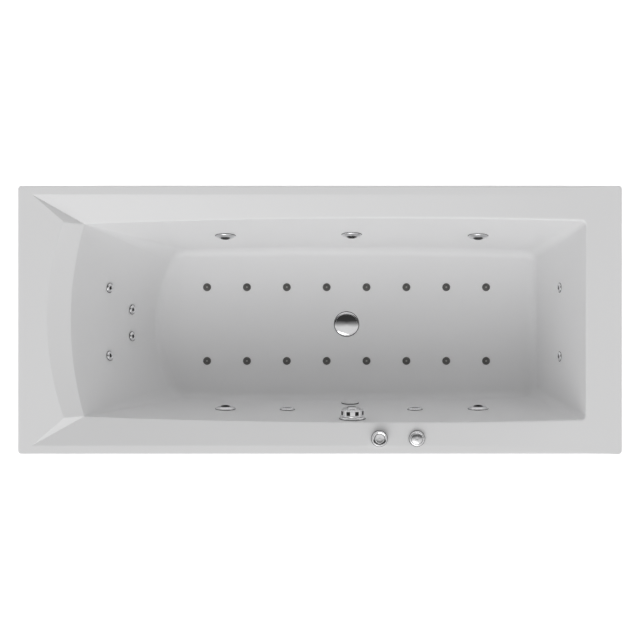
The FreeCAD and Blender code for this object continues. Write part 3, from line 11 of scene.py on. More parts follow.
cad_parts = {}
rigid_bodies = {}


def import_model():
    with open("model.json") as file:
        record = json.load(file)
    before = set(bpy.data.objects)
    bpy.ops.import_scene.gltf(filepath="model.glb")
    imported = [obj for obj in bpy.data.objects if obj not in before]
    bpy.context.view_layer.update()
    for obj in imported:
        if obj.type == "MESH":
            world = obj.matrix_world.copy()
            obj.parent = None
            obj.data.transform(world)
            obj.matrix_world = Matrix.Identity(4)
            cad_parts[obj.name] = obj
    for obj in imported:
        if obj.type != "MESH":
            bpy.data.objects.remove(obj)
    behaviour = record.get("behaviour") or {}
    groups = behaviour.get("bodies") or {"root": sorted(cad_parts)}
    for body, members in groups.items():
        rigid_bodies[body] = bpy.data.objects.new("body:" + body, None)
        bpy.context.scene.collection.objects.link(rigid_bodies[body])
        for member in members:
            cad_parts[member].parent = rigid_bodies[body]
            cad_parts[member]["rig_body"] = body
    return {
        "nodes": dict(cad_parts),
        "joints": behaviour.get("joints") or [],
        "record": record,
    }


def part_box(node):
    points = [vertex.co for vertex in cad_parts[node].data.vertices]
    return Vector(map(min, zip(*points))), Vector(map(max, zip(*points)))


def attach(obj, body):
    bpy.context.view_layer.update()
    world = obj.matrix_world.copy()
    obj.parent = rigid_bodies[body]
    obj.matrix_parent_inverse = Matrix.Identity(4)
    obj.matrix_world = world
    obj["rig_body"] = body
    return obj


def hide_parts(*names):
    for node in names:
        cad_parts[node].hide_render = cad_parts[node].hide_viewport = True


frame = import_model()

bl_info = {
    "name": "Jetted Bathtub",
    "version": (1, 0, 0),
    "blender": (4, 5, 0),
    "location": "3D View > Sidebar > Bathtub",
    "description": "Dresses the frame of a jetted bathtub with its moulded shell, fittings and finishes",
    "category": "Object",
}

NODES = frame["nodes"]
SLOT_OF = {part["node"]: part["material_slot"] for part in frame["record"]["subparts"]}
HALF_LENGTH, HALF_WIDTH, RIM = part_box("tub_shell")[1]
UP = Vector((0, 0, 1))
JETS = FEET = range(1, 7)
SAME_POINT = 1e-6
SEAT_GAP = 0.0001
RUNNING_GAP = 0.0004
FINISHES = {}


def distance(name, description, default):
    return FloatProperty(name=name, description=description, default=default, subtype="DISTANCE",
                         unit="LENGTH")


def number(name, description, default):
    return FloatProperty(name=name, description=description, default=default)


def colour(name, description, default):
    return FloatVectorProperty(name=name, description=description, default=default, size=3, subtype="COLOR",
                               min=0.0, max=1.0)


# ---------------------------------------------------------------- what a user may change
class ShellSizes(bpy.types.PropertyGroup):
    """Plan and section of the moulded shell. Lengths run inwards from the tub's edge, or down from its rim."""

    wall: distance("Wall", "Thickness of the moulded sheet", 0.006)
    depth: distance("Depth", "Rim to floor", 0.44)
    skirt: distance("Skirt", "Height of the turned-down edge", 0.035)
    border: distance("Border", "Width of the flat strip along the edge", 0.026)
    side_head: distance("Mouth at head", "Edge to mouth, at the head end of a long side", 0.112)
    side_middle: distance("Mouth at middle", "Edge to mouth, at the middle side jet", 0.096)
    side_foot: distance("Mouth at foot", "Edge to mouth, at the foot end of a long side", 0.105)
    middle_x: distance("Middle jet", "Distance of the middle side jet from the tub's middle", 0.1)
    foot: distance("Foot rim", "Width of the rim at the foot end", 0.108)
    mouth_corner: distance("Mouth corner", "Corner radius of the mouth at the foot end", 0.014)
    armrest_drop: distance("Armrest drop", "How far the armrests fall towards the head", 0.025)
    mitre_start: distance("Mitre start", "Edge to the outer end of the mitre line", 0.042)
    mitre_end_x: distance("Mitre end, lengthwise", "Head edge to the inner end of the mitre line", 0.138)
    mitre_end_y: distance("Mitre end, crosswise", "Side edge to the inner end of the mitre line", 0.108)
    head_panel: distance("Head panel", "Width of the flat head panel at its middle", 0.088)
    head_edge: distance("Head edge", "Head edge to the mouth's arch at its middle", 0.153)
    head_corner: distance("Head corner", "Head edge to the corner of the mouth", 0.194)
    head_edge_drop: distance("Arch drop", "Fall of the mouth's arch below the armrests", 0.003)
    backrest: distance("Backrest", "Plan length of the backrest at its middle", 0.208)
    backrest_corner: distance("Backrest corner", "Plan length of the backrest at its corners", 0.239)
    foot_wall: distance("Foot wall", "Plan length of the leaning foot wall", 0.082)
    lean_head: distance("Lean at head", "Plan length of a long wall at the head", 0.043)
    lean_middle: distance("Lean at middle", "Plan length of a long wall at the middle", 0.052)
    lean_foot: distance("Lean at foot", "Plan length of a long wall at the foot", 0.054)
    well_corner: distance("Well corner", "Corner radius of the floor", 0.04)
    cove: distance("Cove", "Radius between the walls and the floor", 0.032)
    mouth_edge: distance("Mouth edge", "Rounding of the mouth's edge", 0.006)
    outer_edge: distance("Outer edge", "Rounding of the tub's outer edge", 0.005)
    crease: distance("Crease", "Rounding of the rim's creases", 0.004)
    stations: IntProperty(name="Stations", description="Section lines along a long wall", default=44, min=8)


class FittingSizes(bpy.types.PropertyGroup):
    """Shape of the small fittings beyond what the frame gives."""

    sides: IntProperty(name="Sides", description="Flat sides of a turned fitting", default=72, min=24)
    edge: distance("Edge", "Rounding of a polished metal edge", 0.0009)
    jet_hole: distance("Jet hole", "Radius of the hole behind a side jet", 0.0195)
    drain_hole: distance("Drain hole", "Radius of the hole under the waste", 0.0252)
    ring_lip: distance("Ring lip", "Width of the jet ring's inner lip", 0.0022)
    nozzle_mouth: distance("Nozzle mouth", "Radius of the eyeball's water way at the front", 0.0098)
    nozzle_throat: distance("Nozzle throat", "Radius of the eyeball's water way inside", 0.007)
    micro_eye: distance("Micro eye", "Radius of a micro jet's dark eye", 0.0060)
    cap_pip: distance("Cap pip", "Radius of the bright centre of an air jet", 0.0030)
    grips: IntProperty(name="Grips", description="Grip slots around the overflow knob", default=8, min=3)
    # Black rings round the fittings, like gaskets, that show past each fitting's edge as painted shade: the
    # dark shadow line at the edge.
    shade_gasket: distance("Shade_gasket", "How far a gasket shows beyond its fitting", 0.0012)
    shade_gasket_height: distance("Gasket height", "Height of a gasket on the wall", 0.0008)
    plug_crown: distance("Plug crown", "Height of the waste plug's dome", 0.0042)
    soft_edge: distance("Box edge", "Rounding of boxes, boards and tubes", 0.0014)


class Finishes(bpy.types.PropertyGroup):
    """Colours of the finishes."""

    acrylic: colour("Acrylic", "Polished sanitary acrylic", (0.872, 0.872, 0.876))
    chrome: colour("Chrome", "Polished chrome plate", (0.86, 0.86, 0.87))
    nozzle: colour("Nozzle", "Dark moulded nozzle", (0.008, 0.008, 0.009))
    air_cap: colour("Air cap", "Grey moulded cap", (0.10, 0.098, 0.092))
    pip: colour("Cap centre", "Bright centre of the air cap", (0.34, 0.335, 0.32))
    lens: colour("Lens", "Frosted lamp lens", (0.17, 0.17, 0.18))
    housing: colour("Housing", "White moulded fitting body", (0.70, 0.70, 0.68))
    pipe: colour("Pipe", "Rigid grey pressure pipe", (0.46, 0.48, 0.49))
    hose: colour("Hose", "Flexible hose", (0.26, 0.29, 0.30))
    rubber: colour("Rubber", "Black gasket", (0.012, 0.012, 0.012))
    plywood: colour("Plywood", "Sealed plywood", (0.50, 0.34, 0.19))
    steel: colour("Steel", "Zinc-plated tube", (0.52, 0.53, 0.55))
    motor: colour("Motor", "Painted cast aluminium", (0.10, 0.115, 0.13))
    pump: colour("Pump", "Black glass-filled plastic", (0.016, 0.016, 0.018))
    box: colour("Box", "Light grey moulded box", (0.62, 0.62, 0.60))


class StageSizes(bpy.types.PropertyGroup):
    """Camera and light."""

    camera_height: distance("Camera height", "Camera above the rim", 3.9)
    camera_side: distance("Camera side", "Camera off the tub's middle, towards the control side", 0.1192)
    picture_width: distance("Picture width", "Width of the picture at the rim", 1.905)
    floor: distance("Floor", "Width of the floor", 60.0)
    sky: number("Sky", "Strength of the pale surroundings", 0.79)
    light: number("Light", "Strength of the soft light", 0.9)
    light_spread: number("Light spread", "How broad the soft light is, in degrees", 50.0)
    light_tilt: number("Light tilt", "How far the soft light leans over from straight down, in degrees", 46.0)
    light_turn: number("Light turn", "How far the soft light is turned about the vertical, in degrees", -16.0)


def shell_sizes():
    return bpy.context.scene.bath_shell


def fitting_sizes():
    return bpy.context.scene.bath_fittings


def floor_level():
    return RIM - shell_sizes().depth


# ---------------------------------------------------------------- finishes
def shader(name, tint, roughness, **sockets):
    """Material with its main shader's even values set on the shader itself."""
    material = bpy.data.materials.new(name)
    material.use_nodes = True
    main = material.node_tree.nodes["Principled BSDF"]
    main.inputs["Base Color"].default_value = (*tint, 1.0)
    main.inputs["Roughness"].default_value = roughness
    for label, value in sockets.items():
        main.inputs[label.replace("_", " ")].default_value = value
    return material, main


def clouds(material, scale, detail=3.0, stretch=(1, 1, 1), angle=0.0):
    """Noise in the piece's own coordinates."""
    nodes, links = material.node_tree.nodes, material.node_tree.links
    place = nodes.new("ShaderNodeTexCoord")
    mapping = nodes.new("ShaderNodeMapping")
    mapping.inputs["Scale"].default_value = stretch
    mapping.inputs["Rotation"].default_value = (0, 0, angle)
    noise = nodes.new("ShaderNodeTexNoise")
    noise.inputs["Scale"].default_value = scale
    noise.inputs["Detail"].default_value = detail
    links.new(place.outputs["Object"], mapping.inputs["Vector"])
    links.new(mapping.outputs["Vector"], noise.inputs["Vector"])
    return noise.outputs["Fac"]


def tinted(material, main, source, tint, spread):
    """Colour that wanders a little to both sides of its tint."""
    ramp = material.node_tree.nodes.new("ShaderNodeValToRGB")
    for stop, place, share in zip(ramp.color_ramp.elements, (0.3, 0.7), (1 - spread, 1 + spread)):
        stop.position = place
        stop.color = (*(min(1.0, value * share) for value in tint), 1.0)
    material.node_tree.links.new(source, ramp.inputs["Fac"])
    material.node_tree.links.new(ramp.outputs["Color"], main.inputs["Base Color"])


def polished(material, main, source, low, high):
    """Roughness that wanders between two values."""
    spread = material.node_tree.nodes.new("ShaderNodeMapRange")
    spread.inputs["To Min"].default_value = low
    spread.inputs["To Max"].default_value = high
    material.node_tree.links.new(source, spread.inputs["Value"])
    material.node_tree.links.new(spread.outputs["Result"], main.inputs["Roughness"])


def bumped(material, main, source, strength, depth):
    bump = material.node_tree.nodes.new("ShaderNodeBump")
    bump.inputs["Strength"].default_value = strength
    bump.inputs["Distance"].default_value = depth
    material.node_tree.links.new(source, bump.inputs["Height"])
    material.node_tree.links.new(bump.outputs["Normal"], main.inputs["Normal"])


def moulded(name, tint, roughness, grain=900.0, depth=0.00004, spread=0.04, **sockets):
    """Moulded plastic: faint cloudy tint, even sheen and a fine skin."""
    material, main = shader(name, tint, roughness, **sockets)
    tinted(material, main, clouds(material, 9.0), tint, spread)
    fine = clouds(material, grain, 4.0)
    polished(material, main, fine, roughness * 0.85, roughness * 1.15)
    bumped(material, main, fine, 0.25, depth)
    return material


def make_acrylic(tint):
    """Vacuum-formed gloss sheet, with the faint long waves that forming leaves."""
    material, main = shader("acrylic", tint, 0.38, Coat_Weight=0.12, Coat_Roughness=0.15,
                            Specular_IOR_Level=0.3)
    tinted(material, main, clouds(material, 2.2, 2.0), tint, 0.006)
    polished(material, main, clouds(material, 14.0), 0.35, 0.41)
    bumped(material, main, clouds(material, 5.0, 1.0), 0.05, 0.0006)
    return material


def make_chrome(tint, roughness=0.07, name="chrome"):
    """Plated metal with a trace of haze."""
    material, main = shader(name, tint, roughness, Metallic=1.0)
    haze = clouds(material, 60.0, 4.0)
    polished(material, main, haze, roughness * 0.75, roughness * 1.3)
    tinted(material, main, clouds(material, 25.0), tint, 0.02)
    return material


def make_lens(tint):
    """Frosted lamp lens over a dim reflector."""
    material, main = shader("lens", tint, 0.22, Coat_Weight=0.6, Coat_Roughness=0.05)
    fine = clouds(material, 700.0, 2.0)
    tinted(material, main, clouds(material, 80.0), tint, 0.12)
    bumped(material, main, fine, 0.3, 0.00008)
    return material


def make_plywood(tint):
    """Sealed birch plywood: long grain on the face, fine pores."""
    material, main = shader("plywood", tint, 0.55)
    grain = clouds(material, 16.0, 6.0, stretch=(0.6, 9.0, 9.0))
    tinted(material, main, grain, tint, 0.22)
    bumped(material, main, grain, 0.3, 0.0004)
    return material


def make_steel(tint):
    """Zinc-plated tube: cool spangle and long rolling marks."""
    material, main = shader("galvanised_steel", tint, 0.42, Metallic=0.9)
    spangle = clouds(material, 45.0, 5.0)
    tinted(material, main, spangle, tint, 0.14)
    polished(material, main, spangle, 0.34, 0.52)
    bumped(material, main, clouds(material, 220.0, 3.0, stretch=(0.05, 1, 1)), 0.15, 0.0001)
    return material


def make_finishes(tints):
    """All materials, by the record's slot names."""
    FINISHES.update({
        "acrylic": make_acrylic(tints.acrylic),
        "chrome": make_chrome(tints.chrome),
        "satin_chrome": make_chrome(tints.chrome, 0.24, "satin_chrome"),
        "nozzle_grey": moulded("nozzle_grey", tints.nozzle, 0.3),
        "air_cap_grey": moulded("air_cap_grey", tints.air_cap, 0.45),
        "lens": make_lens(tints.lens),
        "housing_plastic": moulded("housing_plastic", tints.housing, 0.5, depth=0.00008),
        "pipe_plastic": moulded("pipe_plastic", tints.pipe, 0.36),
        "hose": moulded("hose", tints.hose, 0.55, grain=500.0),
        "seal_rubber": moulded("seal_rubber", tints.rubber, 0.75, grain=700.0, depth=0.0001),
        "plywood": make_plywood(tints.plywood),
        "galvanised_steel": make_steel(tints.steel),
        "motor_paint": moulded("motor_paint", tints.motor, 0.5, grain=350.0, depth=0.0002, Metallic=0.3),
        "pump_plastic": moulded("pump_plastic", tints.pump, 0.55, grain=600.0, depth=0.0001),
        "box_plastic": moulded("box_plastic", tints.box, 0.5, grain=400.0, depth=0.00012),
        "strainer_white": moulded("strainer_white", tints.acrylic, 0.3),
        "cap_centre": moulded("cap_centre", tints.pip, 0.4),
    })


def finish_piece(piece, slot_name, material=None):
    """Gives a new piece its finish: the named one, else the one of its slot."""
    piece.data.materials.clear()
    piece.data.materials.append(FINISHES[material or slot_name])


# ---------------------------------------------------------------- modelling by hand
def deselect():
    if bpy.context.mode != "OBJECT":
        bpy.ops.object.mode_set(mode="OBJECT")
    bpy.ops.object.select_all(action="DESELECT")


def only(piece):
    deselect()
    piece.select_set(True)
    bpy.context.view_layer.objects.active = piece


def apply_modifier(piece, kind, **settings):
    only(piece)
    modifier = piece.modifiers.new(kind.title(), kind)
    for label, value in settings.items():
        setattr(modifier, label, value)
    bpy.ops.object.modifier_apply(modifier=modifier.name)


def smooth(piece, degrees=35.0):
    only(piece)
    bpy.ops.object.shade_smooth_by_angle(angle=math.radians(degrees))


@contextmanager
def editing(piece, action="SELECT"):
    """Edit mode on one piece, with all of it selected, or none."""
    only(piece)
    bpy.ops.object.mode_set(mode="EDIT")
    bpy.ops.mesh.select_all(action=action)
    yield
    bpy.ops.object.mode_set(mode="OBJECT")


def tidy_mesh(piece):
    """Merges doubled corners and turns every face outwards."""
    with editing(piece):
        bpy.ops.mesh.remove_doubles(threshold=SAME_POINT)
        bpy.ops.mesh.normals_make_consistent(inside=False)


def arc(start, end, bulge, steps=8):
    """Profile points from start to end along a curve that stands off its chord by bulge."""
    (r0, z0), (r1, z1) = start, end
    across = Vector((z1 - z0, r0 - r1)).normalized() * 2 * bulge
    points = []
    for i in range(steps + 1):
        t = i / steps
        lift = 2 * t * (1 - t)
        points.append((r0 + (r1 - r0) * t + across[0] * lift, z0 + (z1 - z0) * t + across[1] * lift))
    return points


def turned(name, profile, edge=None):
    """Turned piece: a circle extruded and resized once for each corner of its (radius, height) profile.

    A profile that comes back to its first corner makes a ring, any other a solid."""
    deselect()
    ring = profile[0] == profile[-1]
    radius, height = profile[0]
    bpy.ops.mesh.primitive_circle_add(vertices=fitting_sizes().sides, radius=radius, location=(0, 0, height),
                                      fill_type="NOTHING" if ring else "NGON")
    piece = bpy.context.object
    piece.name = piece.data.name = name
    with editing(piece):
        for (r0, z0), (r1, z1) in zip(profile, profile[1:]):
            bpy.ops.mesh.extrude_region_move(TRANSFORM_OT_translate={"value": (0, 0, z1 - z0)})
            bpy.ops.transform.resize(value=(r1 / r0, r1 / r0, 1), center_override=(0, 0, z1))
    bpy.ops.object.transform_apply(location=True, rotation=True, scale=True)
    tidy_mesh(piece)
    if edge:
        apply_modifier(piece, "BEVEL", width=edge, segments=3, limit_method="ANGLE",
                       angle_limit=math.radians(28), harden_normals=False)
    smooth(piece)
    return piece


def settle(piece, seat):
    """Moves a piece made at the origin on to its seat, with the place in its mesh."""
    piece.data.transform(seat)
    piece.data.update()
    return piece


def joined(name, pieces):
    deselect()
    for piece in pieces:
        piece.select_set(True)
    bpy.context.view_layer.objects.active = pieces[0]
    if len(pieces) > 1:
        bpy.ops.object.join()
    pieces[0].name = pieces[0].data.name = name
    return pieces[0]


def cut(piece, cutters):
    """Takes the cutters' shape out of the piece; the cutters are used up."""
    cutter = joined("cutters", cutters)
    apply_modifier(piece, "BOOLEAN", object=cutter, operation="DIFFERENCE", solver="EXACT")
    bpy.data.objects.remove(cutter)


def repeated(name, model, seats):
    """One piece made of a copy of the model on every seat; the model itself is used up."""
    copies = []
    for seat in seats:
        copy = model.copy()
        copy.data = model.data.copy()
        bpy.context.scene.collection.objects.link(copy)
        copies.append(settle(copy, seat))
    bpy.data.objects.remove(model)
    return joined(name, copies)


def dress(piece, node, material=None):
    """The piece stands for a CAD node: it rides on the node's body and takes its slot."""
    finish_piece(piece, SLOT_OF[node], material)
    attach(piece, NODES[node]["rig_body"])
    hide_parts(node)
    return piece


# ---------------------------------------------------------------- places read from the frame
def solids_of(node):
    """Corner clouds of a CAD node's separate solids."""
    mesh = NODES[node].data
    keys = [tuple(round(value, 6) for value in vertex.co) for vertex in mesh.vertices]
    parent = {key: key for key in keys}

    def root(key):
        while parent[key] != key:
            parent[key] = parent[parent[key]]
            key = parent[key]
        return key

    for polygon in mesh.polygons:
        first, *others = (keys[i] for i in polygon.vertices)
        for other in others:
            parent[root(other)] = root(first)
    clouds_by_root = {}
    for key in sorted(parent):
        clouds_by_root.setdefault(root(key), []).append(key)
    return [np.array(cloud) for cloud in clouds_by_root.values()]


class Seat:
    """Axis, foot and size of a turned solid, its axis pointing into the well or up."""

    def __init__(self, cloud):
        centre = (cloud.min(0) + cloud.max(0)) / 2 if len(cloud) < 8 else cloud.mean(0)
        spread, ways = np.linalg.eigh(np.cov((cloud - centre).T))
        way = ways[:, 0] if spread[1] - spread[0] > spread[2] - spread[1] else ways[:, 2]
        axis = Vector(way).normalized()
        if axis.dot(Vector((0, 0, RIM)) - Vector(centre)) < 0:
            axis = -axis
        along = (cloud - centre) @ np.array(axis)
        self.axis = axis
        self.height = float(along.max() - along.min())
        foot = Vector(centre) + axis * float(along.min())
        off = cloud - centre - np.outer(along, np.array(axis))
        self.radius = float(np.linalg.norm(off, axis=1).max())
        across = Vector((1, 0, 0)) if abs(axis.z) > 0.99 else UP.cross(axis).normalized()
        turn = Matrix((across, axis.cross(across), axis)).transposed()
        self.matrix = Matrix.Translation(foot) @ turn.to_4x4()

    def measure(self, cloud):
        """Radius of a solid about this seat's axis, and how far its two ends lie above the seat."""
        axis = np.array(self.axis)
        from_foot = cloud - np.array(self.matrix.translation)
        along = from_foot @ axis
        off = from_foot - np.outer(along, axis)
        return float(np.linalg.norm(off, axis=1).max()), float(along.min()), float(along.max())


def seats_of(node):
    return [Seat(cloud) for cloud in solids_of(node)]


def upright(node, level=0.0):
    """Place of an upright round CAD node at a level, its radius, and the heights of its foot and top."""
    low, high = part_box(node)
    place = Matrix.Translation(((low.x + high.x) / 2, (low.y + high.y) / 2, level))
    return place, (high.x - low.x) / 2, low.z, high.z


# ---------------------------------------------------------------- moulded shell
def bowed(points, x):
    """Half width at x of the plan arc through three (x, half width) points."""
    (x1, y1), (x2, y2), (x3, y3) = points
    a = Matrix(((x2 - x1, y2 - y1), (x3 - x1, y3 - y1))) * 2
    b = Vector((x2 ** 2 - x1 ** 2 + y2 ** 2 - y1 ** 2, x3 ** 2 - x1 ** 2 + y3 ** 2 - y1 ** 2))
    centre = a.inverted() @ b
    radius = (Vector((x1, y1)) - centre).length
    return centre.y + math.sqrt(radius ** 2 - (x - centre.x) ** 2)


def arched(end, middle_x, y):
    """x, at a distance y from the middle line, of the arc from (end.x, -end.y) by (middle_x, 0) to end."""
    rise = end.x - middle_x
    radius = (end.y ** 2 + rise ** 2) / (2 * rise)
    return middle_x + radius - math.sqrt(radius ** 2 - y ** 2)


def eased(count, ends=0.012):
    """Shares from 0 to 1 with a narrow step at both ends, which keeps a crease crisp."""
    inner = [ends + (1 - 2 * ends) * i / (count - 2) for i in range(1, count - 2)]
    return [0.0, ends] + inner + [1 - ends, 1.0]


def between(a, b, t):
    return a + (b - a) * t


def corner(start, middle, end, t):
    """Point of the round corner that leaves start towards middle and reaches end."""
    weight = math.cos((middle - start).angle(end - middle, 0.0) / 2) * 2 * t * (1 - t)
    return (start * (1 - t) ** 2 + middle * weight + end * t ** 2) / ((1 - t) ** 2 + weight + t ** 2)


class ShellPlan:
    """Section lines of half the shell, from the middle of the head round to the middle of the foot.

    Each line holds a point of the outer edge, of the rim's crease, of the mouth and of the wall's foot."""

    HEAD_SHARE = 0.86  # of the head edge, taken up by the lines of the head panel
    MITRE_SHARE = 0.7  # of the mitre's lines, up to the tub's rounded outer corner
    TIP_SHARE = 0.004  # of a long side's lines, on the rest of that corner

    def __init__(self, sizes):
        self.s = s = sizes
        self.floor = RIM - s.depth
        self.tip_radius = 2 * s.outer_edge
        self.head = Vector((-HALF_LENGTH + s.head_corner, HALF_WIDTH - s.side_head, RIM - s.armrest_drop))
        self.mouth = ((self.head.x, self.head.y), (s.middle_x, HALF_WIDTH - s.side_middle),
                      (HALF_LENGTH - s.foot, HALF_WIDTH - s.side_foot))
        self.head.y = bowed(self.mouth, self.head.x)
        self.end_x = HALF_LENGTH - s.foot - s.mouth_corner
        self.base = ((self.head.x + s.backrest_corner, self.mouth[0][1] - s.lean_head),
                     (s.middle_x, self.mouth[1][1] - s.lean_middle),
                     (HALF_LENGTH - s.foot - s.foot_wall, self.mouth[2][1] - s.lean_foot))
        self.border_y = HALF_WIDTH - s.border
        self.mitre_start = Vector((-HALF_LENGTH + s.mitre_start, self.border_y, RIM))
        self.mitre_end = Vector((-HALF_LENGTH + s.mitre_end_x, HALF_WIDTH - s.mitre_end_y, RIM))
        self.floor_head = Vector((*self.base[0], self.floor))
        self.panel_end = Vector((-HALF_LENGTH, (HALF_WIDTH - self.tip_radius) * self.HEAD_SHARE, RIM))

    def on_mouth(self, x):
        drop = self.s.armrest_drop * (self.end_x - x) / (self.end_x - self.head.x)
        return Vector((x, bowed(self.mouth, x), RIM - drop))

    def on_base(self, x):
        return Vector((x, bowed(self.base, x), self.floor))

    def on_back(self, y):
        """Foot of the backrest."""
        middle = -HALF_LENGTH + self.s.head_edge + self.s.backrest
        return Vector((arched(self.floor_head, middle, y), y, self.floor))

    def head_lines(self, count):
        s, lines = self.s, []
        cut_y = self.base[0][1] - s.well_corner
        middle_x = -HALF_LENGTH + s.head_edge
        for t in eased(count):
            y = self.head.y * t
            drop = s.armrest_drop + s.head_edge_drop * (1 - t * t)
            mouth = Vector((arched(self.head, middle_x, y), y, RIM - drop))
            panel_y = self.mitre_end.y * t
            panel = Vector((arched(self.mitre_end, -HALF_LENGTH + s.head_panel, panel_y), panel_y, RIM))
            edge = Vector((-HALF_LENGTH, self.panel_end.y * t, RIM))
            lines.append((edge, panel, mouth, self.on_back(cut_y * t)))
        return lines

    def tip(self, t):
        """Point of the tub's rounded outer corner at the head."""
        middle, radius = Vector((-HALF_LENGTH, HALF_WIDTH, RIM)), self.tip_radius
        return corner(middle - Vector((0, radius, 0)), middle, middle + Vector((radius, 0, 0)), t)

    def mitre_lines(self, count):
        """Facet beside the head, over the corner of the floor."""
        share, lines = self.MITRE_SHARE, []
        start = self.on_back(self.base[0][1] - self.s.well_corner)
        finish = self.on_base(self.base[0][0] + self.s.well_corner)
        for t in eased(count):
            if t < share:
                edge = between(self.panel_end, self.tip(0.0), t / share)
            else:
                edge = self.tip(0.5 * (t - share) / (1 - share))
            foot = corner(start, self.floor_head, finish, t)
            lines.append((edge, between(self.mitre_end, self.mitre_start, t), self.head.copy(), foot))
        return lines

    def side_lines(self, count):
        early, lines = self.TIP_SHARE, []
        first = self.base[0][0] + self.s.well_corner
        last = self.base[2][0] - self.s.well_corner
        for t in [0.0, early / 4, early / 2] + eased(count, early)[1:]:
            mouth = self.on_mouth(self.head.x + (self.end_x - self.head.x) * t)
            strip = Vector((self.mitre_start.x + (self.end_x - self.mitre_start.x) * t, self.border_y, RIM))
            if t < early:
                edge = self.tip(0.5 + 0.5 * t / early)
            else:
                edge = between(self.tip(1.0), Vector((self.end_x, HALF_WIDTH, RIM)), (t - early) / (1 - early))
            lines.append((edge, strip, mouth, self.on_base(first + (last - first) * t)))
        return lines

    def foot_lines(self, count):
        s, lines = self.s, []
        radius, border_x = self.tip_radius, HALF_LENGTH - s.border
        mouth_end = self.on_mouth(self.end_x)
        mouth_tip = Vector((HALF_LENGTH - s.foot, mouth_end.y, RIM))
        mouth_far = mouth_tip - Vector((0, s.mouth_corner, 0))
        base_end = self.on_base(self.base[2][0] - s.well_corner)
        base_tip = Vector((self.base[2][0], base_end.y, self.floor))
        base_far = base_tip - Vector((0, s.well_corner, 0))
        tip = Vector((HALF_LENGTH, HALF_WIDTH, RIM))
        for i in range(1, count + 1):
            t = i / count
            edge = corner(tip - Vector((radius, 0, 0)), tip, tip - Vector((0, radius, 0)), t)
            strip = between(Vector((self.end_x, self.border_y, RIM)), Vector((border_x, self.border_y, RIM)), t)
            lines.append((edge, strip, corner(mouth_end, mouth_tip, mouth_far, t),
                          corner(base_end, base_tip, base_far, t)))
        for t in eased(count)[1:]:
            lines.append((Vector((HALF_LENGTH, (HALF_WIDTH - radius) * (1 - t), RIM)),
                          Vector((border_x, self.border_y * (1 - t), RIM)),
                          Vector((mouth_far.x, mouth_far.y * (1 - t), RIM)),
                          Vector((base_far.x, base_far.y * (1 - t), self.floor))))
        return lines

    def lines(self):
        count = self.s.stations
        return (self.head_lines(count // 2) + self.mitre_lines(16)[1:] + self.side_lines(count)[1:]
                + self.foot_lines(14))


LEAST_REACH = 0.0006
SUPPORT = 0.003
SHARE_OF_LEG = 0.42
SHARE_OF_LAST_LEG = 0.9
ROUNDING_STEPS = (4, 2, 4, 9)
FLOOR_REACH = 1.15
EASING_REACH = 0.015


def rounded_line(points, radii, steps):
    """Section line with rounded corners and a support point beside each; all lines match in count."""
    line = [points[0]]
    for before, here, after, radius, count in zip(points, points[1:], points[2:], radii, steps):
        way_in, way_out = here - before, after - here
        if min(way_in.length, way_out.length) < 10 * SAME_POINT:
            line += [here] * (count + 3)
            continue
        turn = way_in.angle(way_out)
        room = SHARE_OF_LAST_LEG if after is points[-1] else SHARE_OF_LEG
        reach = max(radius * math.tan(turn / 2), LEAST_REACH)
        reach = min(reach, SHARE_OF_LEG * way_in.length, room * way_out.length)
        start, end = here - way_in.normalized() * reach, here + way_out.normalized() * reach
        support = min(SUPPORT, 0.1 * way_in.length, 0.08 * way_out.length)
        line.append(start - way_in.normalized() * support)
        for i in range(count + 1):
            line.append(corner(start, here, end, i / count))
        line.append(end + way_out.normalized() * support)
    return line + [points[-1]]


def inward_ways(feet, reach):
    """Level directions from the walls' feet into the well, eased over a short reach so none of them cross."""
    loop = np.array([foot[:2] for foot in feet + feet[:1]])
    run = np.concatenate(([0.0], np.cumsum(np.linalg.norm(np.diff(loop, axis=0), axis=1))))

    def at(lengths):
        return np.stack([np.interp(lengths, run, loop[:, k], period=run[-1]) for k in (0, 1)], axis=1)

    along = at(run[:-1] + reach) - at(run[:-1] - reach)
    return [Vector((y, -x, 0)).normalized() for x, y in along]


def mesh_from(name, points, faces):
    mesh = bpy.data.meshes.new(name)
    mesh.from_pydata([tuple(point) for point in points], [], faces)
    piece = bpy.data.objects.new(name, mesh)
    bpy.context.scene.collection.objects.link(piece)
    return piece


def shell_skin(sizes):
    """Moulded side of the shell. Its ruled and bowed walls have no primitive to start from, so it is drawn from
    section lines, mirrored, and closed by the flat floor."""
    half = ShellPlan(sizes).lines()
    mirror = Matrix.Scale(-1, 4, Vector((0, 1, 0)))
    lines = half + [tuple(mirror @ point for point in line) for line in reversed(half[1:-1])]
    radii = (sizes.outer_edge, sizes.crease, sizes.mouth_edge, sizes.cove)
    columns = []
    for line, inward in zip(lines, inward_ways([line[3] for line in lines], EASING_REACH)):
        hem = line[0] - UP * sizes.skirt
        well = line[3] + inward * sizes.cove * FLOOR_REACH
        columns.append(rounded_line([hem, *line, well], radii, ROUNDING_STEPS))
    rows = len(columns[0])
    points = [point for column in columns for point in column]
    faces = []
    for i in range(len(columns)):
        a, b = i * rows, (i + 1) % len(columns) * rows
        faces += [(a + k, a + k + 1, b + k + 1, b + k) for k in range(rows - 1)]
    faces.append([i * rows + rows - 1 for i in range(len(columns))])
    return mesh_from("bath_shell", points, faces)


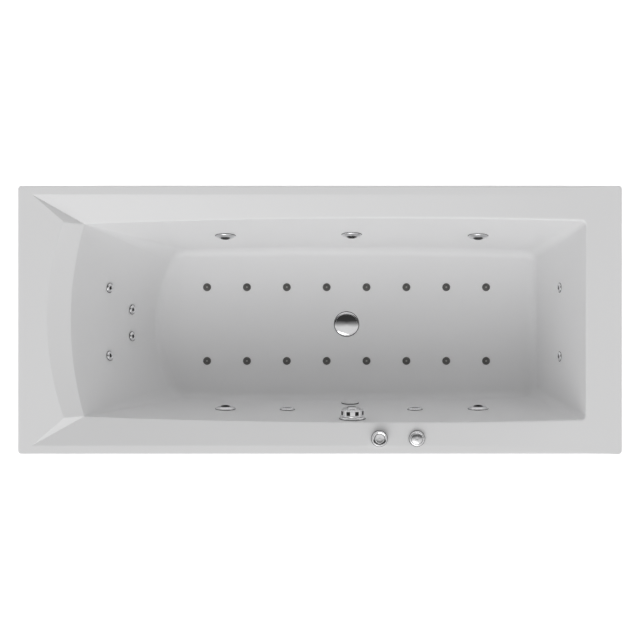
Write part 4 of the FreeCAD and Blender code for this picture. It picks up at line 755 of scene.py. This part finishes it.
class BATH_OT_shell(bpy.types.Operator):
    """Makes the moulded acrylic shell in the place of its CAD node"""

    bl_idname = "bath.shell"
    bl_label = "Shell"

    def execute(self, context):
        sizes = shell_sizes()
        piece = shell_skin(sizes)
        tidy_mesh(piece)
        if piece.data.polygons[-1].normal.z < 0:
            piece.data.flip_normals()
        apply_modifier(piece, "SOLIDIFY", thickness=sizes.wall, offset=-1.0, use_quality_normals=True)
        self.pierce(piece)
        smooth(piece, 40.0)
        dress(piece, "tub_shell")
        return {"FINISHED"}

    def pierce(self, piece):
        """Cuts the holes behind the side jets and over the drain."""
        sizes = fitting_sizes()
        seats = [seats_of("side_jet_ring_%d" % number)[0] for number in JETS]
        drills = [self.drill(sizes.jet_hole, seat.matrix) for seat in seats]
        drills.append(self.drill(sizes.drain_hole, upright("drain_flange", floor_level())[0]))
        cut(piece, drills)

    def drill(self, radius, seat):
        sides, length = 48, 0.05
        deselect()
        bpy.ops.mesh.primitive_cylinder_add(vertices=sides, radius=radius, depth=length, location=(0, 0, 0))
        return settle(bpy.context.object, seat)


# ---------------------------------------------------------------- fittings
class BATH_OT_side_jets(bpy.types.Operator):
    """Makes the six turning rings and their eyeball nozzles"""

    bl_idname = "bath.side_jets"
    bl_label = "Side jets"

    def execute(self, context):
        sizes = fitting_sizes()
        for number in JETS:
            ring_node, nozzle_node = "side_jet_ring_%d" % number, "side_jet_nozzle_%d" % number
            seat = seats_of(ring_node)[0]
            outer, height = seat.radius, seat.height
            ball = (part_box(nozzle_node)[1].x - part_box(nozzle_node)[0].x) / 2
            bore = ball + RUNNING_GAP
            lip = bore + sizes.ring_lip
            profile = [(bore, 0.0), (outer, 0.0)]
            profile += arc((outer, height * 0.22), (lip, height * 0.97), height * 0.16)
            profile += [(bore, height * 0.86), (bore, 0.0)]
            ring = turned("jet_ring_%d" % number, profile, sizes.edge)
            dress(settle(ring, seat.matrix), ring_node, "satin_chrome")

            foot, end = seat.measure(solids_of(nozzle_node)[0])[1:]
            depth = end - foot
            middle = depth * 0.5
            front, back = ball * 0.80, ball * 0.77
            profile = [(sizes.nozzle_throat, 0.0), (back, 0.0)]
            profile += arc((back, 0.0), (ball, middle), ball * 0.06)[1:]
            profile += arc((ball, middle), (front, depth), ball * 0.05)[1:]
            profile += [(sizes.nozzle_mouth, depth), (sizes.nozzle_throat, depth * 0.45),
                        (sizes.nozzle_throat, 0.0)]
            place = seat.matrix @ Matrix.Translation((0, 0, foot))
            dress(settle(turned("jet_nozzle_%d" % number, profile, sizes.edge), place), nozzle_node)
        return {"FINISHED"}


class BATH_OT_micro_jets(bpy.types.Operator):
    """Makes the six micro jets with their dark eyes"""

    bl_idname = "bath.micro_jets"
    bl_label = "Micro jets"

    def execute(self, context):
        sizes = fitting_sizes()
        seats = seats_of("micro_jet_faces")
        outer, height, eye = seats[0].radius, seats[0].height, sizes.micro_eye
        profile = [(eye, 0.0), (outer, 0.0)] + arc((outer, height * 0.25), (eye * 1.5, height), height * 0.14)
        profile += [(eye, height * 0.7), (eye, 0.0)]
        places = [seat.matrix for seat in seats]
        faces = repeated("micro_jets", turned("micro_jet", profile, sizes.edge / 2), places)
        dress(faces, "micro_jet_faces", "satin_chrome")
        profile = [(eye, 0.0), (eye, height * 0.35), (eye * 0.5, height * 0.2)]
        core = turned("micro_core", profile, sizes.edge / 3)
        cores = repeated("micro_jet_cores", core, places)
        finish_piece(cores, "nozzle_grey")
        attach(cores, "tub")
        return {"FINISHED"}


class BATH_OT_air_jets(bpy.types.Operator):
    """Makes the sixteen floor air jets with their bright centres"""

    bl_idname = "bath.air_jets"
    bl_label = "Air jets"

    def execute(self, context):
        sizes, floor = fitting_sizes(), floor_level()
        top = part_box("air_jet_caps")[1].z - floor
        places, outer = [], 0.0
        for cloud in solids_of("air_jet_caps"):
            middle = (cloud.min(0) + cloud.max(0)) / 2
            outer = float(cloud[:, 0].max() - cloud[:, 0].min()) / 2
            places.append(Matrix.Translation((middle[0], middle[1], floor)))
        pip = sizes.cap_pip
        profile = [(outer, 2 * SEAT_GAP)] + arc((outer, top * 0.3), (pip * 1.4, top), top * 0.22)
        profile += [(pip * 1.2, top * 0.8), (pip * 0.6, top * 0.8)]
        dress(repeated("air_jets", turned("air_jet", profile, sizes.edge / 2), places), "air_jet_caps")
        centre = turned("air_centre", [(pip, top * 0.5), (pip, top * 0.9), (pip * 0.6, top)], sizes.edge / 3)
        centres = repeated("air_jet_centres", centre, places)
        finish_piece(centres, "air_cap_grey", "cap_centre")
        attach(centres, "tub")
        return {"FINISHED"}


class BATH_OT_lights(bpy.types.Operator):
    """Makes the two lamps: bezel and lens"""

    bl_idname = "bath.lights"
    bl_label = "Lights"

    def execute(self, context):
        sizes = fitting_sizes()
        bezels, lenses = seats_of("light_bezels"), seats_of("light_lenses")
        outer, height, lens = bezels[0].radius, bezels[0].height, lenses[0].radius
        places = [bezel.matrix for bezel in bezels]
        slope = 0.0016
        profile = [(lens, 0.0), (outer, 0.0)]
        profile += arc((outer, height * 0.3), (lens + slope, height), height * 0.18)
        profile += [(lens, height * 0.8), (lens, 0.0)]
        rings = repeated("light_rings", turned("light_ring", profile, sizes.edge / 2), places)
        dress(rings, "light_bezels", "satin_chrome")
        glass, edge = lenses[0].height, lens - SEAT_GAP
        profile = [(edge, 0.0)] + arc((edge, glass * 0.4), (lens * 0.08, glass), glass * 0.1)
        dress(repeated("light_glasses", turned("light_glass", profile), places), "light_lenses")
        return {"FINISHED"}


class BATH_OT_suction(bpy.types.Operator):
    """Makes the low strainer of the suction, with two rings of short slots"""

    bl_idname = "bath.suction"
    bl_label = "Suction strainer"

    def execute(self, context):
        sizes = fitting_sizes()
        seat = seats_of("suction_strainer")[0]
        outer, height = seat.radius, seat.height
        profile = [(outer, 0.0)] + arc((outer, height * 0.35), (outer * 0.1, height), height * 0.2)
        cover = turned("strainer_cover", profile, sizes.edge)
        slot_width = 0.0026
        size = (outer * 0.2, slot_width, height)
        slots = []
        for share, count in ((0.72, 16), (0.42, 10)):
            for i in range(count):
                turn = Matrix.Rotation(2 * math.pi * i / count, 4, "Z")
                deselect()
                bpy.ops.mesh.primitive_cube_add(size=1.0, scale=size, location=(0, 0, 0))
                slot = bpy.context.object
                bpy.ops.object.transform_apply(scale=True)
                slots.append(settle(slot, turn @ Matrix.Translation((outer * share, 0, height))))
        cut(cover, slots)
        smooth(cover)
        dress(settle(cover, seat.matrix), "suction_strainer")
        return {"FINISHED"}


class BATH_OT_drain(bpy.types.Operator):
    """Makes the pop-up waste: flange and domed plug"""

    bl_idname = "bath.drain"
    bl_label = "Drain"

    def execute(self, context):
        sizes, floor = fitting_sizes(), floor_level()
        place, outer, low, high = upright("drain_flange", floor)
        plug, plug_low, plug_high = upright("drain_plug")[1:]
        rise, tail = high - floor, low - floor
        throat, neck, seat = 0.021, 0.025, 0.004
        profile = [(throat, tail), (neck, tail), (neck, SEAT_GAP), (outer, SEAT_GAP)]
        profile += arc((outer, rise * 0.35), (plug - seat, rise), rise * 0.15)
        profile += [(throat, -seat / 2), (throat, tail)]
        dress(settle(turned("waste_flange", profile, sizes.edge / 2), place), "drain_flange")
        base, crown = rise + RUNNING_GAP, plug_high - floor
        stem, tip = 0.005, plug_low - floor
        profile = [(stem, tip), (stem, base), (plug, base), (plug, crown - sizes.plug_crown)]
        profile += arc((plug, crown - sizes.plug_crown), (plug * 0.04, crown), plug * 0.024, 14)[1:]
        dress(settle(turned("waste_plug", profile, sizes.edge / 2), place), "drain_plug")
        return {"FINISHED"}


class BATH_OT_overflow(bpy.types.Operator):
    """Makes the overflow's plate and its turning knob"""

    bl_idname = "bath.overflow"
    bl_label = "Overflow"

    def execute(self, context):
        sizes = fitting_sizes()
        seat = seats_of("overflow_rosette")[0]
        outer, height = seat.radius, seat.height
        joint = next(joint for joint in frame["joints"] if joint["name"] == "overflow_turn")
        if joint["child"] != NODES["overflow_knob"]["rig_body"]:
            raise RuntimeError("the overflow knob doesn't ride on its own joint")
        knob, back, top = seat.measure(solids_of("overflow_knob")[0])
        shaft, wall, lip, waist = 0.0075, 0.003, 0.001, knob - 0.0006
        eye = shaft + RUNNING_GAP
        profile = [(eye, 0.0), (outer, 0.0)] + arc((outer, height * 0.4), (outer * 0.86, height), height * 0.1)
        profile += [(eye, height), (eye, 0.0)]
        dress(settle(turned("overflow_plate", profile, sizes.edge), seat.matrix), "overflow_rosette")
        base = height + RUNNING_GAP
        shoulder, step, boss = between(base, top, 0.66), between(base, top, 0.8), knob * 0.42
        profile = [(shaft, back), (shaft, shoulder - wall), (knob - wall, shoulder - wall), (knob - wall, base),
                   (knob, base), (knob, base + wall), (waist, base + wall + lip)]
        profile += arc((waist, shoulder), (boss + 2 * lip, step), 0.0012)
        profile += [(boss, step)] + arc((boss, between(step, top, 0.5)), (boss * 0.1, top), lip)
        cap = turned("overflow_cap", profile, sizes.edge / 2)
        foot_band = 0.0055
        self.slot_grips(cap, knob, base + foot_band, shoulder - lip, sizes.grips)
        dress(settle(cap, seat.matrix), "overflow_knob")
        # Black core inside the knob: painted shade in the grip slots, standing in for the knob's dark bands.
        inside = knob - wall - 2 * SEAT_GAP
        core = turned("overflow_slot_shade", [(inside, base + lip), (inside, shoulder - wall)])
        finish_piece(settle(core, seat.matrix), "seal_rubber")
        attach(core, NODES["overflow_knob"]["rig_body"])
        return {"FINISHED"}

    def slot_grips(self, cap, radius, low, high, count):
        """Cuts the grip slots around the knob, through its wall to the black core, which is painted shade that
        makes the slots show as dark bands.
        """
        depth, rounding = 0.02, 0.0012
        cutters = []
        for i in range(count):
            deselect()
            bpy.ops.mesh.primitive_cube_add(size=1.0)
            bpy.ops.transform.resize(value=(depth, radius * 0.34, high - low))
            bpy.ops.object.transform_apply(scale=True)
            turn = Matrix.Rotation(2 * math.pi * (i + 0.5) / count, 4, "Z")
            cutter = settle(bpy.context.object, turn @ Matrix.Translation((radius, 0, (low + high) / 2)))
            apply_modifier(cutter, "BEVEL", width=rounding, segments=2)
            cutters.append(cutter)
        cut(cap, cutters)
        smooth(cap)


class BATH_OT_deck_controls(bpy.types.Operator):
    """Makes the air regulator's turning cap and the push button with its bezel"""

    bl_idname = "bath.deck_controls"
    bl_label = "Deck controls"

    def execute(self, context):
        sizes = fitting_sizes()
        self.regulator(sizes)
        self.button(sizes)
        return {"FINISHED"}

    def regulator(self, sizes):
        place, cap, low, top = upright("regulator_knob")
        stem, collar, slope, dish = 0.006, 0.0035, 0.0013, 0.0016
        waist, base = cap - 0.0012, RIM + 3 * SEAT_GAP
        profile = [(stem, low), (stem, base), (cap, base), (cap, base + collar), (waist, base + collar + slope)]
        profile += arc((waist, top - collar), (cap * 0.84, top), 0.0006)
        profile += [(cap * 0.78, top - dish / 2), (cap * 0.70, top - dish), (cap * 0.1, top - 0.0010)]
        body = turned("air_regulator_cap", profile, sizes.edge / 2)
        body = joined("air_regulator_cap", [body, self.grip(cap * 0.52, top - dish - 2 * SEAT_GAP)])
        dress(settle(body, place), "regulator_knob")

    def grip(self, radius, level):
        """Low curved rib, three fifths of a turn, on which a finger turns the cap."""
        width, height, rounding, sweep = 0.0024, 0.003, 0.0006, 215
        deselect()
        bpy.ops.mesh.primitive_plane_add(size=1.0, location=(radius, 0, level), rotation=(math.pi / 2, 0, 0))
        rib = bpy.context.object
        bpy.ops.transform.resize(value=(width, 1, height))
        bpy.ops.object.transform_apply(location=True, rotation=True, scale=True)
        with editing(rib):
            bpy.ops.mesh.spin(steps=30, angle=math.radians(sweep), center=(0, 0, level), axis=(0, 0, 1))
            bpy.ops.mesh.select_all(action="SELECT")
            bpy.ops.mesh.remove_doubles(threshold=SAME_POINT)
            bpy.ops.mesh.fill_holes(sides=4)
            bpy.ops.mesh.normals_make_consistent(inside=False)
        apply_modifier(rib, "BEVEL", width=rounding, segments=3, limit_method="ANGLE",
                       angle_limit=math.radians(40))
        smooth(rib)
        return rib

    def button(self, sizes):
        place, trim, low, top = upright("button_bezel")
        press, press_low, press_high = upright("start_button")[1:]
        base, well, body, guide = RIM + SEAT_GAP, press + RUNNING_GAP, 0.015, 0.0054
        step, collar, slope, travel, crown = RIM + 0.0011, 0.004, 0.0012, 0.004, 0.0022
        profile = [(guide, low), (body, low), (body, base), (trim, base)]
        profile += arc((trim, base + collar), (well + slope, top), 0.0008)
        profile += [(well, top - 0.001), (well, step), (guide, step), (guide, low)]
        dress(settle(turned("button_trim", profile, sizes.edge / 2), place), "button_bezel", "satin_chrome")
        foot, stem = step + travel + RUNNING_GAP, guide - RUNNING_GAP
        profile = [(stem, press_low), (stem, foot), (press, foot)]
        profile += arc((press, press_high - crown), (press * 0.06, press_high), 0.0009, 12)
        dress(settle(turned("push_button", profile, sizes.edge / 2), place), "start_button", "satin_chrome")


# Black rings that stand for the shadow line around the fittings: painted shade. They are thicker at the suction
# strainer and wider at the drain, where the painted line is broader.
THICK_SHADE_GASKET = 3
WIDE_SHADE_GASKET = 1.6


class BATH_OT_shade_gaskets(bpy.types.Operator):
    """Makes thin black rings, like gaskets, that show past the fittings' edges as painted shade: the dark
    shadow line around each fitting
    """

    bl_idname = "bath.gaskets"
    bl_label = "Shade_gaskets"

    def execute(self, context):
        sizes = fitting_sizes()
        rings = []
        seated = ["side_jet_ring_%d" % number for number in JETS]
        for node in (*seated, "micro_jet_faces", "light_bezels", "suction_strainer", "overflow_rosette"):
            height = sizes.shade_gasket_height * (THICK_SHADE_GASKET if node == "suction_strainer" else 1)
            for seat in seats_of(node):
                rings.append(settle(self.ring(seat.radius, sizes.shade_gasket, height), seat.matrix))
        for node, level, share in (("drain_flange", floor_level(), WIDE_SHADE_GASKET),
                                   ("regulator_knob", RIM, 1.0), ("button_bezel", RIM, 1.0)):
            place, radius = upright(node, level)[:2]
            rings.append(settle(self.ring(radius, sizes.shade_gasket * share, sizes.shade_gasket_height), place))
        self.groove_shade()
        gaskets = joined("gaskets", rings)
        # Black finish: these rings are painted shade, the dark line that shadow draws round each fitting.
        finish_piece(gaskets, "seal_rubber")
        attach(gaskets, "tub")
        return {"FINISHED"}

    def groove_shade(self):
        """Dark ring in the top of the regulator's cap: painted shade that stands in for the dark line of a
        groove.
        """
        place, radius, _, top = upright("regulator_knob")
        width, height, depth = 0.0006, 0.0016, 0.0022
        groove_shade = self.ring(radius * 0.66, width, height)
        settle(groove_shade, Matrix.Translation((0, 0, top - depth)) @ place)
        groove_shade.name = groove_shade.data.name = "regulator_groove_shade"
        # Black finish: the ring is painted shade for the groove's dark line.
        finish_piece(groove_shade, "seal_rubber")
        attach(groove_shade, NODES["regulator_knob"]["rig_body"])

    def ring(self, radius, width, height):
        inner, outer = radius * 0.93, radius + width
        profile = [(inner, -SEAT_GAP), (outer, -SEAT_GAP), (outer, height * 0.6),
                   (outer - height * 0.4, height), (inner, height), (inner, -SEAT_GAP)]
        return turned("shade_gasket", profile)


# ---------------------------------------------------------------- equipment under the rim
FLAT_ANGLE = 0.6
SMOOTH_ROUND = 32.0
SMOOTH_BOXED = 40.0
# Subdivided pieces, by the angle in degrees from which their edges stay sharp.
ROUND_PIECES = {
    50.0: ["side_jet_housings", "side_jet_seals", "micro_jet_housings", "air_jet_housings",
           "light_housings", "suction_housing", "suction_pipe", "drain_trap", "overflow_elbow", "overflow_pipe",
           "regulator_valve", "pressure_pipe", "pump_volute", "pump_motor", "motor_cowl", "air_blower",
           "air_manifold"] + ["foot_%d" % number for number in FEET],
    65.0: ["micro_jet_hoses", "air_pipe"],
}
BOXED_PIECES = ["base_board", "pump_board", "control_box", "control_box_lid", "frame_rails", "frame_crossbars",
                "frame_uprights", "fitting_nuts"]


def merged_copy(node):
    """Own copy of a CAD node with its triangles merged back into flat faces."""
    piece = NODES[node].copy()
    piece.data = NODES[node].data.copy()
    piece.parent = None
    for key in list(piece.keys()):
        del piece[key]
    bpy.context.scene.collection.objects.link(piece)
    piece.name = piece.data.name = node + "_dressed"
    with editing(piece):
        bpy.ops.mesh.remove_doubles(threshold=2 * SAME_POINT)
        bpy.ops.mesh.dissolve_limited(angle_limit=math.radians(FLAT_ANGLE))
    return piece


def crease_edges(piece, degrees):
    """Marks the edges that stay sharp when the piece is subdivided."""
    with editing(piece, "DESELECT"):
        bpy.ops.mesh.edges_select_sharp(sharpness=math.radians(degrees))
        bpy.ops.transform.edge_crease(value=1.0)


class BATH_OT_equipment(bpy.types.Operator):
    """Rounds the pipes, bodies, pump and feet, and softens the edges of boxes, boards, tubes and nuts"""

    bl_idname = "bath.equipment"
    bl_label = "Equipment"

    def execute(self, context):
        for degrees, nodes in ROUND_PIECES.items():
            for node in nodes:
                piece = merged_copy(node)
                crease_edges(piece, degrees)
                apply_modifier(piece, "SUBSURF", levels=2, render_levels=2)
                smooth(piece, SMOOTH_ROUND)
                dress(piece, node)
        for node in BOXED_PIECES:
            piece = merged_copy(node)
            apply_modifier(piece, "BEVEL", width=fitting_sizes().soft_edge, segments=2, limit_method="ANGLE",
                           angle_limit=math.radians(SMOOTH_BOXED))
            smooth(piece, SMOOTH_BOXED)
            dress(piece, node)
        return {"FINISHED"}


class BATH_OT_finishes(bpy.types.Operator):
    """Makes the finishes and gives them to every CAD node that stays in sight"""

    bl_idname = "bath.finishes"
    bl_label = "Finishes"

    def execute(self, context):
        make_finishes(context.scene.bath_finishes)
        for name, node in NODES.items():
            node.data.materials.clear()
            node.data.materials.append(FINISHES[SLOT_OF[name]])
        return {"FINISHED"}


# ---------------------------------------------------------------- stage
class BATH_OT_stage(bpy.types.Operator):
    """Sets the camera over the tub, the pale floor and the soft light from the control side"""

    bl_idname = "bath.stage"
    bl_label = "Stage"

    def execute(self, context):
        sizes = context.scene.bath_stage
        self.camera(context, sizes)
        self.floor(sizes)
        self.sky(context.scene, sizes.sky)
        self.lamps(sizes)
        context.scene.view_settings.view_transform = "Standard"
        return {"FINISHED"}

    def camera(self, context, sizes):
        lens = bpy.data.cameras.new("camera")
        lens.sensor_width = 36.0
        lens.lens = lens.sensor_width * sizes.camera_height / sizes.picture_width
        lens.shift_y = sizes.camera_side / sizes.picture_width
        camera = bpy.data.objects.new("camera", lens)
        camera.location = (0, -sizes.camera_side, RIM + sizes.camera_height)
        context.scene.collection.objects.link(camera)
        context.scene.camera = camera

    def floor(self, sizes):
        deselect()
        bpy.ops.mesh.primitive_plane_add(size=sizes.floor, location=(0, 0, -0.0005))
        floor = bpy.context.object
        floor.name = "floor"
        bpy.ops.object.transform_apply(location=True)
        material, main = shader("pale_floor", (0.9, 0.9, 0.9), 0.9, Emission_Strength=0.62)
        main.inputs["Emission Color"].default_value = (1.0, 1.0, 1.0, 1.0)
        floor.data.materials.append(material)

    def sky(self, scene, strength):
        """Pale all round, with a dark strip just past the middle that gives the chrome its contrast."""
        world = bpy.data.worlds.new("studio")
        world.use_nodes = True
        nodes, links = world.node_tree.nodes, world.node_tree.links
        place = nodes.new("ShaderNodeTexCoord")
        split = nodes.new("ShaderNodeSeparateXYZ")
        links.new(place.outputs["Generated"], split.inputs["Vector"])
        across = nodes.new("ShaderNodeMapRange")
        across.inputs["From Min"].default_value = -0.6
        across.inputs["From Max"].default_value = 0.7
        ramp = nodes.new("ShaderNodeValToRGB")
        stops = ramp.color_ramp.elements
        stops[0].color, stops[1].color = (0.95, 0.95, 0.95, 1), (0.8, 0.8, 0.8, 1)
        for share, grey in ((0.38, 0.9), (0.5, 0.3), (0.59, 0.05), (0.76, 0.04), (0.92, 0.8)):
            stops.new(share).color = (grey, grey, grey, 1)
        height = nodes.new("ShaderNodeMapRange")
        height.inputs["From Min"].default_value = 0.30
        height.inputs["From Max"].default_value = 0.55
        mix = nodes.new("ShaderNodeMix")
        mix.data_type = "RGBA"
        mix.inputs["A"].default_value = (0.82, 0.82, 0.82, 1)
        links.new(split.outputs["Y"], across.inputs["Value"])
        links.new(across.outputs["Result"], ramp.inputs["Fac"])
        links.new(split.outputs["Z"], height.inputs["Value"])
        links.new(height.outputs["Result"], mix.inputs["Factor"])
        links.new(ramp.outputs["Color"], mix.inputs["B"])
        links.new(mix.outputs["Result"], nodes["Background"].inputs["Color"])
        nodes["Background"].inputs["Strength"].default_value = strength
        scene.world = world

    def lamps(self, sizes):
        """One broad, soft light from the control side."""
        lamp = bpy.data.lights.new("soft_light", "SUN")
        lamp.energy = sizes.light
        lamp.angle = math.radians(sizes.light_spread)
        piece = bpy.data.objects.new("soft_light", lamp)
        piece.rotation_euler = (math.radians(sizes.light_tilt), 0, math.radians(sizes.light_turn))
        bpy.context.scene.collection.objects.link(piece)


# ---------------------------------------------------------------- panel and registration
PIECE_OPERATORS = (BATH_OT_finishes, BATH_OT_shell, BATH_OT_side_jets, BATH_OT_micro_jets, BATH_OT_air_jets,
                   BATH_OT_lights, BATH_OT_suction, BATH_OT_drain, BATH_OT_overflow, BATH_OT_deck_controls,
                   BATH_OT_shade_gaskets, BATH_OT_equipment, BATH_OT_stage)
GROUPS = {"bath_shell": ShellSizes, "bath_fittings": FittingSizes, "bath_finishes": Finishes,
          "bath_stage": StageSizes}


class BATH_PT_panel(bpy.types.Panel):
    """Sizes, colours and makers of the bathtub"""

    bl_idname = "BATH_PT_panel"
    bl_label = "Jetted Bathtub"
    bl_space_type = "VIEW_3D"
    bl_region_type = "UI"
    bl_category = "Bathtub"

    def draw(self, context):
        for label, group in GROUPS.items():
            box = self.layout.box()
            for name in group.__annotations__:
                box.prop(getattr(context.scene, label), name)
        for operator in PIECE_OPERATORS:
            self.layout.operator(operator.bl_idname)


CLASSES = (*GROUPS.values(), *PIECE_OPERATORS, BATH_PT_panel)


def register():
    for cls in CLASSES:
        bpy.utils.register_class(cls)
    for label, group in GROUPS.items():
        setattr(bpy.types.Scene, label, PointerProperty(type=group))


def unregister():
    for label in GROUPS:
        delattr(bpy.types.Scene, label)
    for cls in reversed(CLASSES):
        bpy.utils.unregister_class(cls)


def main():
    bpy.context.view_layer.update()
    register()
    bpy.ops.bath.finishes()
    bpy.ops.bath.shell()
    bpy.ops.bath.side_jets()
    bpy.ops.bath.micro_jets()
    bpy.ops.bath.air_jets()
    bpy.ops.bath.lights()
    bpy.ops.bath.suction()
    bpy.ops.bath.drain()
    bpy.ops.bath.overflow()
    bpy.ops.bath.deck_controls()
    bpy.ops.bath.gaskets()
    bpy.ops.bath.equipment()
    bpy.ops.bath.stage()
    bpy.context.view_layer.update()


if __name__ == "__main__":
    main()
